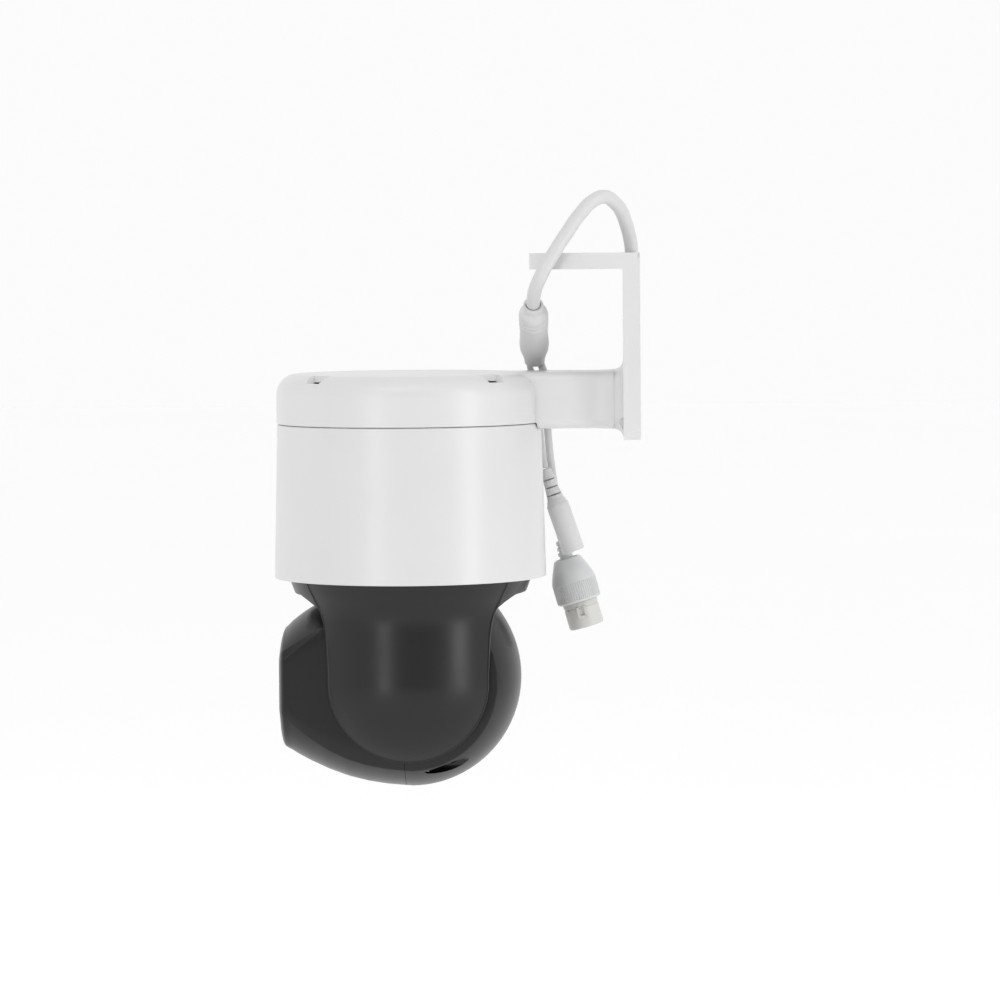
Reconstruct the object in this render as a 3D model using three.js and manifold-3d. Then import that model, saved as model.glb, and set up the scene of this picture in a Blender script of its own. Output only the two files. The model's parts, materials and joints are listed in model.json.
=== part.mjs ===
// Small outdoor pan-tilt-zoom camera on an L-shaped wall and ceiling bracket.
// Millimetres, +Z up, the lens looks along -Y at rest and the wall is at y = 0.
// The origin is on the wall face of the bracket, on the centreline of the arm.
import * as THREE from 'three';
import { mergeVertices } from 'three/addons/utils/BufferGeometryUtils.js';
import Module from 'manifold-3d';

const wasm = await Module();
wasm.setup();

// ---- driving dimensions -------------------------------------------------
const GAP = 0.3;                 // air between neighbouring pieces
const WALL = 2.6;                // moulded wall thickness
const PAN_Y = -101.6;            // pan axis, vertical
const TILT_Z = -121.45;          // tilt axis, along X

const PLATE_WIDTH = 60;
const PLATE_THICK = 7.5;
const PLATE_LOW = -17.05;
const PLATE_HIGH = 64;
const CEILING_REACH = 48.2;
const CEILING_THICK = 7;
const CHANNEL_WIDTH = 7.4;
const CHANNEL_DEPTH = 6.8;

const ARM_HALF_WIDTH = 17;
const ARM_HALF_HEIGHT = 12.35;
const ARM_END_Y = -11.9;         // where the arm meets the bracket's stub
const ARM_SCREW_X = 13;

const CAP_TOP = 12.2;
const CAP_RADIUS = 58.2;
const CAP_SHOULDER = 9.3;
const SEAM_Z = -9.75;
const HOUSING_TOP_RADIUS = 58;
const HOUSING_RADIUS = 59.7;
const HOUSING_BOTTOM = -77.35;
const COVER_SCREW_RADIUS = 53.4; // from the pan axis
const POCKET_FLOOR = 8.7;
const COVER_SCREW_SEAT = 6.2;    // in a counterbore below the pocket's floor
const COVER_SCREW_ANGLES = [45, 135, 225, 315];

const FLANGE_TOP = HOUSING_BOTTOM - GAP;
const FLANGE_TOP_RADIUS = 53.3;
const FLANGE_LOW = -84;
const FLANGE_LOW_RADIUS = 50.9;
const YOKE_RADIUS = 47.5;
const FORK_INSIDE = 29.6;        // inner faces of the fork, from the middle
const TONGUE_RADIUS = 35.2;
const DISH_RADIUS = 48.9;
const DISH_WALL = 2.5;

const BALL_RADIUS = 48.4;
const HEAD_HALF_WIDTH = 29;
const FACE_Y = -56.2;            // from the tilt axis
const HEAD_SPLIT_Y = -2;
const SIDE_BEVEL = 8;

const CHASSIS_TOP = -65.5;
const CHASSIS_LOW = -68;
const SPINDLE_RADIUS = 6;
const SPINDLE_TOP = -55;

const GEAR_MODULE = 1;
const PAN_GEAR_TEETH = 36;
const TILT_GEAR_TEETH = 24;
const PINION_TEETH = 10;
const MESH_PLAY = 0.4;
const PAN_CENTRES = GEAR_MODULE * (PAN_GEAR_TEETH + PINION_TEETH) / 2 + MESH_PLAY;
const TILT_CENTRES = GEAR_MODULE * (TILT_GEAR_TEETH + PINION_TEETH) / 2 + MESH_PLAY;
const TILT_PINION_ANGLE = -30;   // degrees, behind and below the tilt axis

const CABLE_RADIUS = 3;
const DC_TAIL_RADIUS = 1.4;
const NETWORK_TAIL_RADIUS = 1.7;
const CHANNEL_CABLE_Y = -3.5;

// ---- finishes -----------------------------------------------------------
const WHITE_PLASTIC = { color: 0xe9ebee, roughness: 0.42, metalness: 0 };
const BLACK_PLASTIC = { color: 0x17181b, roughness: 0.38, metalness: 0 };
const BLACK_GLOSS = { color: 0x0a0a0c, roughness: 0.08, metalness: 0 };
const GREY_PLASTIC = { color: 0xcfcdc6, roughness: 0.5, metalness: 0 };
const WHITE_RUBBER = { color: 0xe4e6e8, roughness: 0.6, metalness: 0 };
const BLACK_RUBBER = { color: 0x1c1c1e, roughness: 0.8, metalness: 0 };
const STEEL = { color: 0xb9bcc0, roughness: 0.35, metalness: 1 };
const ALUMINIUM = { color: 0xc4c7cb, roughness: 0.4, metalness: 1 };
const BRASS = { color: 0xc2a05a, roughness: 0.35, metalness: 1 };
const NYLON = { color: 0xe8e2d0, roughness: 0.55, metalness: 0 };
const BOARD_GREEN = { color: 0x1f5a3c, roughness: 0.5, metalness: 0 };
const GLASS = { color: 0xa9c4d2, roughness: 0.03, metalness: 0 };

const model = new THREE.Group();
const body = new THREE.Group();
body.position.set(0, PAN_Y, 0);
const yoke = new THREE.Group();
yoke.position.set(0, PAN_Y, TILT_Z);
const head = new THREE.Group();
head.position.set(0, PAN_Y, TILT_Z);
model.add(body, yoke, head);

// ---- making solids ------------------------------------------------------
const rad = THREE.MathUtils.degToRad;
const at = (x, y, z) => new THREE.Vector3(x, y, z);

function signedVolume(points, triangles) {
  let sum = 0;
  const corner = (i) => at(points[3 * i], points[3 * i + 1], points[3 * i + 2]);
  for (let t = 0; t < triangles.length; t += 3) {
    const [a, b, c] = [0, 1, 2].map((k) => corner(triangles[t + k]));
    sum += a.dot(b.cross(c));
  }
  return sum;
}

function solid(geometry) {
  geometry.deleteAttribute('normal');
  geometry.deleteAttribute('uv');
  const merged = mergeVertices(geometry, 1e-4);
  const points = new Float32Array(merged.attributes.position.array);
  const index = merged.index.array;
  const triangles = [];
  for (let t = 0; t < index.length; t += 3) {
    const [a, b, c] = [index[t], index[t + 1], index[t + 2]];
    if (a !== b && b !== c && c !== a) triangles.push(a, b, c);
  }
  if (signedVolume(points, triangles) < 0) triangles.reverse();
  const triVerts = new Uint32Array(triangles);
  return new wasm.Manifold(new wasm.Mesh({ numProp: 3, vertProperties: points, triVerts }));
}

const join = (first, ...others) => others.reduce((sum, one) => sum.add(one), first);
const cut = (first, ...others) => others.reduce((rest, one) => rest.subtract(one), first);

function box(width, depth, height, x, y, z) {
  return solid(new THREE.BoxGeometry(width, depth, height).translate(x, y, z));
}

// A box given by its lowest and highest corners.
function block(low, high) {
  const size = high.map((v, i) => v - low[i]);
  const middle = high.map((v, i) => (v + low[i]) / 2);
  return box(...size, ...middle);
}

// A round bar, or a cone, from one point to another.
function rod(from, to, radius, sides = 24, farRadius = radius) {
  const along = to.clone().sub(from);
  const geometry = new THREE.CylinderGeometry(farRadius, radius, along.length(), sides);
  const turn = new THREE.Quaternion().setFromUnitVectors(at(0, 1, 0), along.normalize());
  geometry.applyQuaternion(turn);
  const middle = from.clone().add(to).multiplyScalar(0.5);
  return solid(geometry.translate(middle.x, middle.y, middle.z));
}

const upright = (x, y, low, high, radius, sides) => rod(at(x, y, low), at(x, y, high), radius, sides);

// A profile of [radius, height] pairs turned about Z.
function turned(profile, sides = 40) {
  const onAxis = profile[0][0] === 0 && profile.at(-1)[0] === 0;
  const ring = onAxis ? profile : [...profile, profile[0]];
  const points = ring.map(([r, z]) => new THREE.Vector2(r, z));
  return solid(new THREE.LatheGeometry(points, sides).rotateX(Math.PI / 2));
}

// The same, turned about a line along another axis, through a start point.
function turnedAlong(start, end, profile, sides = 32) {
  const direction = end.clone().sub(start).normalize();
  const onAxis = profile[0][0] === 0 && profile.at(-1)[0] === 0;
  const ring = onAxis ? profile : [...profile, profile[0]];
  const geometry = new THREE.LatheGeometry(ring.map(([r, s]) => new THREE.Vector2(r, s)), sides);
  const turn = new THREE.Quaternion().setFromUnitVectors(at(0, 1, 0), direction);
  geometry.applyQuaternion(turn);
  return solid(geometry.translate(start.x, start.y, start.z));
}

function arc(centreR, centreZ, radius, fromDegrees, toDegrees, steps) {
  return Array.from({ length: steps + 1 }, (_, i) => {
    const angle = rad(fromDegrees + (toDegrees - fromDegrees) * i / steps);
    return [centreR + radius * Math.cos(angle), centreZ + radius * Math.sin(angle)];
  });
}

function outline(points) {
  const shape = new THREE.Shape();
  points.forEach(([u, v], i) => (i ? shape.lineTo(u, v) : shape.moveTo(u, v)));
  return shape;
}

function roundedRectangle(width, height, radius, u = 0, v = 0) {
  const [w, h] = [width / 2 - radius, height / 2 - radius];
  const shape = new THREE.Shape();
  shape.absarc(u + w, v - h, radius, -Math.PI / 2, 0);
  shape.absarc(u + w, v + h, radius, 0, Math.PI / 2);
  shape.absarc(u - w, v + h, radius, Math.PI / 2, Math.PI);
  shape.absarc(u - w, v - h, radius, Math.PI, 1.5 * Math.PI);
  return shape;
}

// Shapes drawn in (x, z) and given thickness along Y.
function alongY(shape, fromY, toY, curveSegments = 3) {
  const options = { depth: toY - fromY, bevelEnabled: false, curveSegments };
  const geometry = new THREE.ExtrudeGeometry(shape, options);
  return solid(geometry.rotateX(Math.PI / 2).translate(0, toY, 0));
}

// Shapes drawn in (x, y) and given thickness along Z.
function alongZ(shape, fromZ, toZ, curveSegments = 3) {
  const options = { depth: toZ - fromZ, bevelEnabled: false, curveSegments };
  return solid(new THREE.ExtrudeGeometry(shape, options).translate(0, 0, fromZ));
}

// Shapes drawn in (y, z) and given thickness along X.
function alongX(shape, fromX, toX, extra = {}) {
  const options = { depth: toX - fromX, bevelEnabled: false, curveSegments: 12, ...extra };
  const geometry = new THREE.ExtrudeGeometry(shape, options);
  return solid(geometry.rotateX(Math.PI / 2).rotateZ(Math.PI / 2).translate(fromX, 0, 0));
}

function sphere(radius, around = 32, down = 16) {
  return solid(new THREE.SphereGeometry(radius, around, down).rotateX(Math.PI / 2));
}

function tube(points, radius, steps, sides = 8) {
  const section = new THREE.Shape();
  for (let i = 0; i < sides; i += 1) {
    const angle = 2 * Math.PI * i / sides;
    const [u, v] = [radius * Math.cos(angle), radius * Math.sin(angle)];
    if (i) section.lineTo(u, v);
    else section.moveTo(u, v);
  }
  const path = new THREE.CatmullRomCurve3(points.map((p) => at(...p)), false, 'centripetal');
  return solid(new THREE.ExtrudeGeometry(section, { extrudePath: path, steps, bevelEnabled: false }));
}

function add(name, shape, finish, parent = model) {
  const { vertProperties, triVerts } = shape.getMesh();
  const geometry = new THREE.BufferGeometry();
  geometry.setAttribute('position', new THREE.BufferAttribute(vertProperties, 3));
  geometry.setIndex(new THREE.BufferAttribute(triVerts, 1));
  geometry.computeVertexNormals();
  const mesh = new THREE.Mesh(geometry, new THREE.MeshStandardMaterial(finish));
  mesh.name = name;
  parent.add(mesh);
}

// A screw along a line: the head's seat is at `seat`, the shank runs to `tip`.
function screw(seat, tip, headRadius, headHeight, shankRadius) {
  const back = seat.clone().sub(tip).normalize();
  const top = seat.clone().addScaledVector(back, headHeight);
  const socket = seat.clone().addScaledVector(back, headHeight * 0.4);
  const above = top.clone().addScaledVector(back, 1);
  const shank = rod(tip, seat.clone().addScaledVector(back, 0.2), shankRadius, 8);
  return cut(join(rod(seat, top, headRadius, 12), shank), rod(socket, above, headRadius * 0.5, 6));
}

// ---- gears --------------------------------------------------------------
// A spur gear outline with straight-sided teeth; one tooth points along +u.
function gearShape(teeth, phase = 0) {
  const pitch = GEAR_MODULE * teeth / 2;
  const [tip, root] = [pitch + 0.8 * GEAR_MODULE, pitch - 1.2 * GEAR_MODULE];
  const step = 2 * Math.PI / teeth;
  const flank = [[root, -0.3], [tip, -0.12], [tip, 0.12], [root, 0.3]];
  const points = [];
  for (let i = 0; i < teeth; i += 1) {
    for (const [radius, share] of flank) {
      const angle = phase + (i + share) * step;
      points.push([radius * Math.cos(angle), radius * Math.sin(angle)]);
    }
  }
  return outline(points);
}

// ---- wall and ceiling bracket ------------------------------------------
function bracketBlank() {
  const middleZ = (PLATE_HIGH + PLATE_LOW) / 2;
  const plate = roundedRectangle(PLATE_WIDTH, PLATE_HIGH - PLATE_LOW, 5, 0, middleZ);
  const wall = alongY(plate, -PLATE_THICK, 0);
  const corner = 20;
  const half = PLATE_WIDTH / 2;
  const ceiling = new THREE.Shape();
  ceiling.moveTo(-half, -1);
  ceiling.lineTo(-half, corner - CEILING_REACH);
  ceiling.absarc(corner - half, corner - CEILING_REACH, corner, Math.PI, 1.5 * Math.PI);
  ceiling.absarc(half - corner, corner - CEILING_REACH, corner, 1.5 * Math.PI, 2 * Math.PI);
  ceiling.lineTo(half, -1);
  const stubs = [[0.4, -11.6], [1.6, -9.8], [4, -8.6]].map(([grow, from]) => {
    const size = [2 * (ARM_HALF_WIDTH + 1.6 * grow), 2 * (ARM_HALF_HEIGHT + grow)];
    return alongY(roundedRectangle(...size, 8), from, -PLATE_THICK + 0.5);
  });
  return join(wall, alongZ(ceiling, PLATE_HIGH - CEILING_THICK, PLATE_HIGH, 5), ...stubs);
}

function wallBracket() {
  const half = CHANNEL_WIDTH / 2;
  const cuts = [block([-half, -CHANNEL_DEPTH, 6], [half, 1, PLATE_HIGH + 1])];
  cuts.push(block([-9, -20, -8.5], [9, -2, 8.5]));
  cuts.push(block([-half, -12, 5], [half, -2, 11.6]));
  for (const side of [-1, 1]) {
    for (const z of [-10, 50]) cuts.push(rod(at(side * 23, -20, z), at(side * 23, 1, z), 2.5, 16));
    for (const z of [19.4, 38]) cuts.push(box(3.2, 20, 7, side * 12, -5, z));
    cuts.push(rod(at(side * ARM_SCREW_X, -20, 0), at(side * ARM_SCREW_X, 1, 0), 1.9, 12));
    cuts.push(rod(at(side * ARM_SCREW_X, -3.3, 0), at(side * ARM_SCREW_X, 1, 0), 3.3, 16));
    cuts.push(alongZ(roundedRectangle(5, 12, 2.49, side * 17, -24), 50, 70, 2));
  }
  cuts.push(alongZ(roundedRectangle(5.2, 18, 2.59, 0, -46), 50, 70, 2));
  return cut(bracketBlank(), ...cuts);
}

function bracketPieces() {
  add('wall_bracket', wallBracket(), WHITE_PLASTIC);
  for (const [name, side] of [['arm_screw_left', -1], ['arm_screw_right', 1]]) {
    const x = side * ARM_SCREW_X;
    add(name, screw(at(x, -3, 0), at(x, -24, 0), 2.8, 2.4, 1.6), STEEL);
  }
}

// ---- top cover with its arm --------------------------------------------
function capSolid(inset) {
  const radius = CAP_RADIUS - inset;
  const shoulder = CAP_SHOULDER - inset;
  const top = CAP_TOP - inset;
  const low = SEAM_Z - (inset ? 1 : 0);
  const round = arc(radius - shoulder, top - shoulder, shoulder, 0, 90, 4);
  return turned([[0, low], [radius, low], ...round, [0, top]]);
}

function screwPlace(angle) {
  return [COVER_SCREW_RADIUS * Math.cos(rad(angle)), COVER_SCREW_RADIUS * Math.sin(rad(angle))];
}

function rimPocket(angle) {
  const inner = 49.5;
  const section = outline([[inner, 13], [inner + 1.4, POCKET_FLOOR], [61, POCKET_FLOOR], [61, 13]]);
  const geometry = new THREE.ExtrudeGeometry(section, { depth: 8, bevelEnabled: false });
  geometry.rotateX(Math.PI / 2).translate(0, 4, 0).rotateZ(rad(angle));
  return solid(geometry);
}

function topCover() {
  const armStart = 40;
  const armEnd = ARM_END_Y - PAN_Y;
  const arm = alongY(roundedRectangle(2 * ARM_HALF_WIDTH, 2 * ARM_HALF_HEIGHT, 8), armStart, armEnd);
  const bosses = COVER_SCREW_ANGLES.map((a) => upright(...screwPlace(a), -9, CAP_TOP - 3, 5, 12));
  const shell = cut(capSolid(0), capSolid(WALL));
  let cover = join(shell, ...bosses).intersect(capSolid(0));
  cover = cover.add(cut(arm, upright(0, 0, -30, SEAM_Z, CAP_RADIUS + 0.6, 40)));
  cover = cut(cover, capSolid(WALL).intersect(upright(0, 0, -30, 20, 47, 48)));
  cover = cut(cover, block([-9, 43, -8.5], [9, 62, 8.5]), block([-9, 65, -8.5], [9, 95, 8.5]));
  cover = cut(cover, rod(at(0, 40, 0), at(0, 70, 0), 5, 24));
  for (const x of [-ARM_SCREW_X, ARM_SCREW_X]) {
    cover = cut(cover, rod(at(x, 64, 0), at(x, 95, 0), 1.9, 12));
  }
  for (const angle of COVER_SCREW_ANGLES) {
    cover = cut(cover, rimPocket(angle), upright(...screwPlace(angle), -20, 20, 1.6, 8));
    cover = cut(cover, upright(...screwPlace(angle), COVER_SCREW_SEAT, 20, 2.6, 16));
  }
  return cover;
}

function coverPieces() {
  add('top_cover', topCover(), WHITE_PLASTIC, body);
  COVER_SCREW_ANGLES.forEach((angle, i) => {
    const [x, y] = screwPlace(angle);
    const shape = screw(at(x, y, COVER_SCREW_SEAT + GAP), at(x, y, -22), 2.2, 1.8, 1.25);
    add(`cover_screw_${i + 1}`, shape, STEEL, body);
  });
  const grommet = [[3.3, 61], [7.2, 61], [7.2, 61.7], [4.7, 61.7], [4.7, 65.3], [6.6, 65.3], [6.6, 66],
    [3.3, 66]];
  add('cable_grommet', turnedAlong(at(0, 0, 0), at(0, 1, 0), grommet, 16), BLACK_RUBBER, body);
}

// ---- main housing and what it holds ------------------------------------
const HOUSING_TOP = SEAM_Z - GAP;
const CHASSIS_POSTS = [60, 180, 300].map((a) => [44 * Math.cos(rad(a)), 44 * Math.sin(rad(a))]);

function mainHousing() {
  const floor = HOUSING_BOTTOM + 2.8;
  const profile = [[30, HOUSING_BOTTOM], [HOUSING_RADIUS, HOUSING_BOTTOM]];
  profile.push([HOUSING_TOP_RADIUS, HOUSING_TOP], [HOUSING_TOP_RADIUS - 2.8, HOUSING_TOP]);
  profile.push([HOUSING_RADIUS - 2.8, floor], [30, floor]);
  let housing = turned(profile);
  const inside = turned([[0, floor - 1], [HOUSING_RADIUS - 1.5, floor - 1],
    [HOUSING_TOP_RADIUS - 1.5, HOUSING_TOP], [0, HOUSING_TOP]]);
  const posts = CHASSIS_POSTS.map(([x, y]) => upright(x, y, floor - 1, CHASSIS_LOW - GAP, 4, 16));
  const bosses = COVER_SCREW_ANGLES.map((a) => upright(...screwPlace(a), -27, HOUSING_TOP, 4.2, 12));
  const ledges = [0, 90, 180, 270].map((a) => {
    const geometry = new THREE.BoxGeometry(15, 6, 3).translate(51.5, 0, -29).rotateZ(rad(a));
    return solid(geometry);
  });
  housing = housing.add(join(...posts, ...bosses, ...ledges).intersect(inside));
  housing = cut(housing, turned([[55.8, -11.5], [57.1, -11.5], [57.1, -8], [55.8, -8]]));
  for (const angle of COVER_SCREW_ANGLES) {
    housing = cut(housing, upright(...screwPlace(angle), -24.5, 0, 1.6, 8));
  }
  for (const [x, y] of CHASSIS_POSTS) housing = cut(housing, upright(x, y, -73.6, -60, 1.8, 8));
  return housing;
}

function chassisPlate() {
  const hubLow = CHASSIS_LOW - 0.6;
  const hub = turned([[10.3, hubLow], [13, hubLow], [13, CHASSIS_LOW], [50, CHASSIS_LOW], [50, CHASSIS_TOP],
    [13, CHASSIS_TOP], [13, -62.2], [10.3, -62.2]], 32);
  const motorPosts = [-17.5, 17.5].map((y) => upright(PAN_CENTRES, y, CHASSIS_TOP - 1, -56.6, 2.5, 12));
  let plate = join(hub, ...motorPosts);
  for (const [x, y] of CHASSIS_POSTS) plate = cut(plate, upright(x, y, -80, -60, 1.8, 8));
  return cut(plate, box(14, 16, 10, -30, 0, CHASSIS_TOP));
}

function mainBoard() {
  const disc = upright(0, 0, -27, -25.4, 46, 32);
  const sockets = [[-26, 12], [-26, -4], [14, -32]].map(([x, y]) => box(8, 11, 6, x, y, -23));
  const chips = [[24, 20, 7, 10], [-8, 30, 12, 8], [30, -14, 6, 6]];
  const parts = chips.map(([x, y, width, depth]) => box(width, depth, 3, x, y, -24.5));
  return cut(join(disc, ...sockets, ...parts), upright(0, 0, -30, -20, 5, 16));
}

function finnedBlock(width, depth, height, fins, base) {
  const pitch = width / fins;
  let whole = block([-width / 2, -depth / 2, 0], [width / 2, depth / 2, height]);
  for (let i = 0; i < fins - 1; i += 1) {
    const x = -width / 2 + (i + 1) * pitch;
    whole = cut(whole, box(pitch * 0.5, depth + 2, height, x, 0, base + height / 2));
  }
  return whole;
}

function housingPieces() {
  add('main_housing', mainHousing(), WHITE_PLASTIC, body);
  const seal = [[56.1, -11.2], [56.8, -11.2], [56.8, -10.05], [56.1, -10.05]];
  add('housing_seal', turned(seal, 32), BLACK_RUBBER, body);
  add('chassis_plate', chassisPlate(), ALUMINIUM, body);
  CHASSIS_POSTS.forEach(([x, y], i) => {
    const shape = screw(at(x, y, CHASSIS_TOP + GAP), at(x, y, -73), 3, 2, 1.4);
    add(`chassis_screw_${i + 1}`, shape, STEEL, body);
  });
  add('main_board', mainBoard(), BOARD_GREEN, body);
  const sink = finnedBlock(30, 26, 9, 6, 2.5).translate([6, 0, -25.1]);
  add('board_heat_sink', cut(sink, upright(0, 0, -30, -10, 5.5, 16)), ALUMINIUM, body);
  const bearing = [[SPINDLE_RADIUS + GAP, -68.3], [10, -68.3], [10, -62.4], [SPINDLE_RADIUS + GAP, -62.4]];
  add('pan_bearing', turned(bearing, 24), STEEL, body);
  const motor = join(upright(PAN_CENTRES, 0, -56.3, -37, 14, 28), box(7, 42, 1.1, PAN_CENTRES, 0, -55.75));
  add('pan_motor', cut(motor, upright(PAN_CENTRES, 0, -60, -50.4, 1.9, 12)), STEEL, body);
}

// ---- yoke ---------------------------------------------------------------
const FLANGE_HEIGHT = FLANGE_LOW - TILT_Z;   // above the tilt axis

function yokeEnvelope(inset) {
  const lower = arc(0, 0, YOKE_RADIUS - inset, -90, 0, 7);
  const flare = [[YOKE_RADIUS, 26], [47.7, 29], [48.5, 32], [49.6, 34.4], [FLANGE_LOW_RADIUS, FLANGE_HEIGHT]];
  const sides = [...flare, [FLANGE_TOP_RADIUS, FLANGE_TOP - TILT_Z]];
  const upper = sides.map(([r, z]) => [r - inset, z]);
  return turned([[0, -YOKE_RADIUS + inset], ...lower.slice(1), ...upper, [0, FLANGE_TOP - TILT_Z]]);
}

// The side cover's outline in (y, z) about the tilt axis, made larger by `grow`.
function tongueShape(grow) {
  const radius = TONGUE_RADIUS + grow;
  const top = FLANGE_TOP - TILT_Z + (grow > 0 ? 1 : 0) + Math.min(grow, 0);
  const side = [[0.3, 11], [0.7, 19.5], [1.5, 25.5], [4, 30], [8, 34], [14, 38], [20, top]];
  const right = side.map(([out, z]) => [radius + out, z]);
  const left = right.map(([y, z]) => [-y, z]).reverse();
  const round = arc(0, 0.1, radius, 180, 360, 14);
  return outline([...round, ...right, ...left]);
}

function sideCover(side) {
  const inner = FORK_INSIDE + GAP;
  const outer = alongX(tongueShape(0), inner, 60).intersect(yokeEnvelope(0));
  const hollow = alongX(tongueShape(-2.4), inner - 1, 60).intersect(yokeEnvelope(2.4));
  const core = upright(0, 0, 30, 50, 45.3, 48);
  const shell = cut(outer, hollow, core);
  return side > 0 ? shell : shell.mirror([1, 0, 0]);
}

// The hollow corner that runs from one fork arm into the underside of the flange.
function forkWeb(side, front, back) {
  const corner = [[FORK_INSIDE, 31], [FORK_INSIDE, 38], [21, 38], [21, 37.2], [25, 35.4], [28, 33]];
  const shape = outline(corner.map(([x, z]) => [side * x, z]));
  return alongY(shape, front, back).intersect(yokeEnvelope(0));
}

function yokeFrame() {
  const dish = (radius, from, to) => arc(0, 0, radius, from, to, 4);
  const innerStart = Math.acos(31 / DISH_RADIUS) * 180 / Math.PI;
  const outerRadius = DISH_RADIUS + DISH_WALL;
  const flangeTop = FLANGE_TOP - TILT_Z;
  const outerStart = Math.asin(flangeTop / outerRadius) * 180 / Math.PI;
  const degreesAt = (r, R) => Math.acos(r / R) * 180 / Math.PI;
  const profile = [...dish(DISH_RADIUS, degreesAt(4, DISH_RADIUS), innerStart)];
  profile.push([40, FLANGE_HEIGHT - 0.6], [43.4, FLANGE_HEIGHT - 1.9]);
  profile.push([FLANGE_LOW_RADIUS, FLANGE_HEIGHT], [FLANGE_TOP_RADIUS, flangeTop]);
  profile.push(...dish(outerRadius, outerStart, degreesAt(SPINDLE_RADIUS, outerRadius)));
  profile.push([SPINDLE_RADIUS, SPINDLE_TOP - TILT_Z], [4, SPINDLE_TOP - TILT_Z]);
  const flange = turned(profile);
  const room = alongX(tongueShape(GAP), FORK_INSIDE, 60).subtract(upright(0, 0, 20, 50, 45, 48));
  let frame = cut(flange, room, room.mirror([1, 0, 0]));
  const armShape = outline([...arc(0, 0, 29.5, 180, 360, 12), [29.5, 41.4], [-29.5, 41.4]]);
  for (const side of [-1, 1]) {
    const range = side > 0 ? [FORK_INSIDE, 33] : [-33, -FORK_INSIDE];
    frame = join(frame, alongX(armShape, ...range), forkWeb(side, -52, -38.5), forkWeb(side, 38.5, 52));
    frame = cut(frame, rod(at(side * 25, 0, 0), at(side * 40, 0, 0), 5.3, 24));
  }
  return frame;
}

function tiltAxle(side) {
  const inner = side < 0 ? 19.4 : 24;
  const pin = rod(at(side * inner, 0, 0), at(side * 35, 0, 0), 5, 24);
  const washer = rod(at(side * 33.3, 0, 0), at(side * 35, 0, 0), 8, 24);
  return cut(join(pin, washer), rod(at(side * 10, 0, 0), at(side * 40, 0, 0), 3, 16));
}

function yokePieces() {
  add('yoke_frame', yokeFrame(), BLACK_PLASTIC, yoke);
  add('yoke_cover_right', sideCover(1), BLACK_PLASTIC, yoke);
  add('yoke_cover_left', sideCover(-1), BLACK_PLASTIC, yoke);
  add('tilt_axle_right', tiltAxle(1), STEEL, yoke);
  add('tilt_axle_left', tiltAxle(-1), STEEL, yoke);
  const tiltGear = alongX(gearShape(TILT_GEAR_TEETH, rad(TILT_PINION_ANGLE)), -24, -20);
  add('tilt_gear', cut(tiltGear, rod(at(-30, 0, 0), at(-10, 0, 0), 5.3, 24)), NYLON, yoke);
  const panGear = alongZ(gearShape(PAN_GEAR_TEETH), -61.5, -57);
  add('pan_gear', cut(panGear, upright(0, 0, -70, -50, SPINDLE_RADIUS + GAP, 32)), NYLON, body);
  const clip = [[SPINDLE_RADIUS + GAP, -56.7], [8.4, -56.7], [8.4, -55.9], [SPINDLE_RADIUS + GAP, -55.9]];
  add('spindle_clip', turned(clip, 24), STEEL, body);
}

// ---- gears that turn on their own --------------------------------------
function pinionPieces() {
  const halfTooth = Math.PI / PINION_TEETH;
  const panPinion = alongZ(gearShape(PINION_TEETH, Math.PI + halfTooth), -61.3, -57.2);
  const panShaft = upright(0, 0, -58, -51, 1.5, 12);
  add('pan_pinion', join(panPinion, panShaft).translate([PAN_CENTRES, 0, 0]), BRASS, body);
  const facing = rad(TILT_PINION_ANGLE) + Math.PI + halfTooth;
  const tiltPinion = alongX(gearShape(PINION_TEETH, facing), -23.8, -20.2);
  const tiltShaft = rod(at(-21, 0, 0), at(-15.4, 0, 0), 1.5, 12);
  add('tilt_pinion', join(tiltPinion, tiltShaft).translate([0, ...tiltPinionPlace()]), BRASS, head);
}

function tiltPinionPlace() {
  const angle = rad(TILT_PINION_ANGLE);
  return [TILT_CENTRES * Math.cos(angle), TILT_CENTRES * Math.sin(angle)];
}

// ---- camera head --------------------------------------------------------
// The side outline of the nose in (y, z) about the tilt axis; it runs past the flat face.
const NOSE_OUTLINE = [[-80, 16.5], [-60, 16.5], [-54.3, 23], [-47.6, 29.1], [-38, 34], [-31, 36.6], [-20, 30],
  [-8, 0], [-4, -30], [-4, -47.6], [-18, -45.9], [-36.5, -39.8], [-45.3, -35.2], [-53, -30.2], [-60, -23.5],
  [-80, -23.5]];
// The round limit of the nose, as [radius about the Y axis, y].
const NOSE_ROUND = [[33, -70], [33, -57], [35.5, -52], [37.5, -45.3], [40.2, -36.5], [43.4, -27.8], [45.9, -19],
  [47.6, -10], [48.3, -2], [48.3, 1]];

function headEnvelope(inset) {
  const half = HEAD_HALF_WIDTH - inset;
  const bevel = { bevelEnabled: true, bevelThickness: SIDE_BEVEL, bevelSize: SIDE_BEVEL };
  bevel.bevelSegments = 2;
  bevel.bevelOffset = -SIDE_BEVEL - inset;
  const bar = alongX(outline(NOSE_OUTLINE), -half + SIDE_BEVEL, half - SIDE_BEVEL, bevel);
  const limit = [[0, -70], ...NOSE_ROUND.map(([r, y]) => [r - inset, y]), [0, 1]];
  const nose = bar.intersect(turnedAlong(at(0, 0, 0), at(0, 1, 0), limit, 40));
  const ball = sphere(BALL_RADIUS - inset).intersect(block([-half, -70, -70], [half, 70, 70]));
  return ball.add(nose.intersect(block([-half, FACE_Y + inset, -60], [half, 0, 60])));
}

function windowShape(width, height, radius) {
  return roundedRectangle(width, height, radius, 0, LENS_AXIS_Z);
}

const HEAD_SCREW = { x: 24.6, z: -37 };

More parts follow.
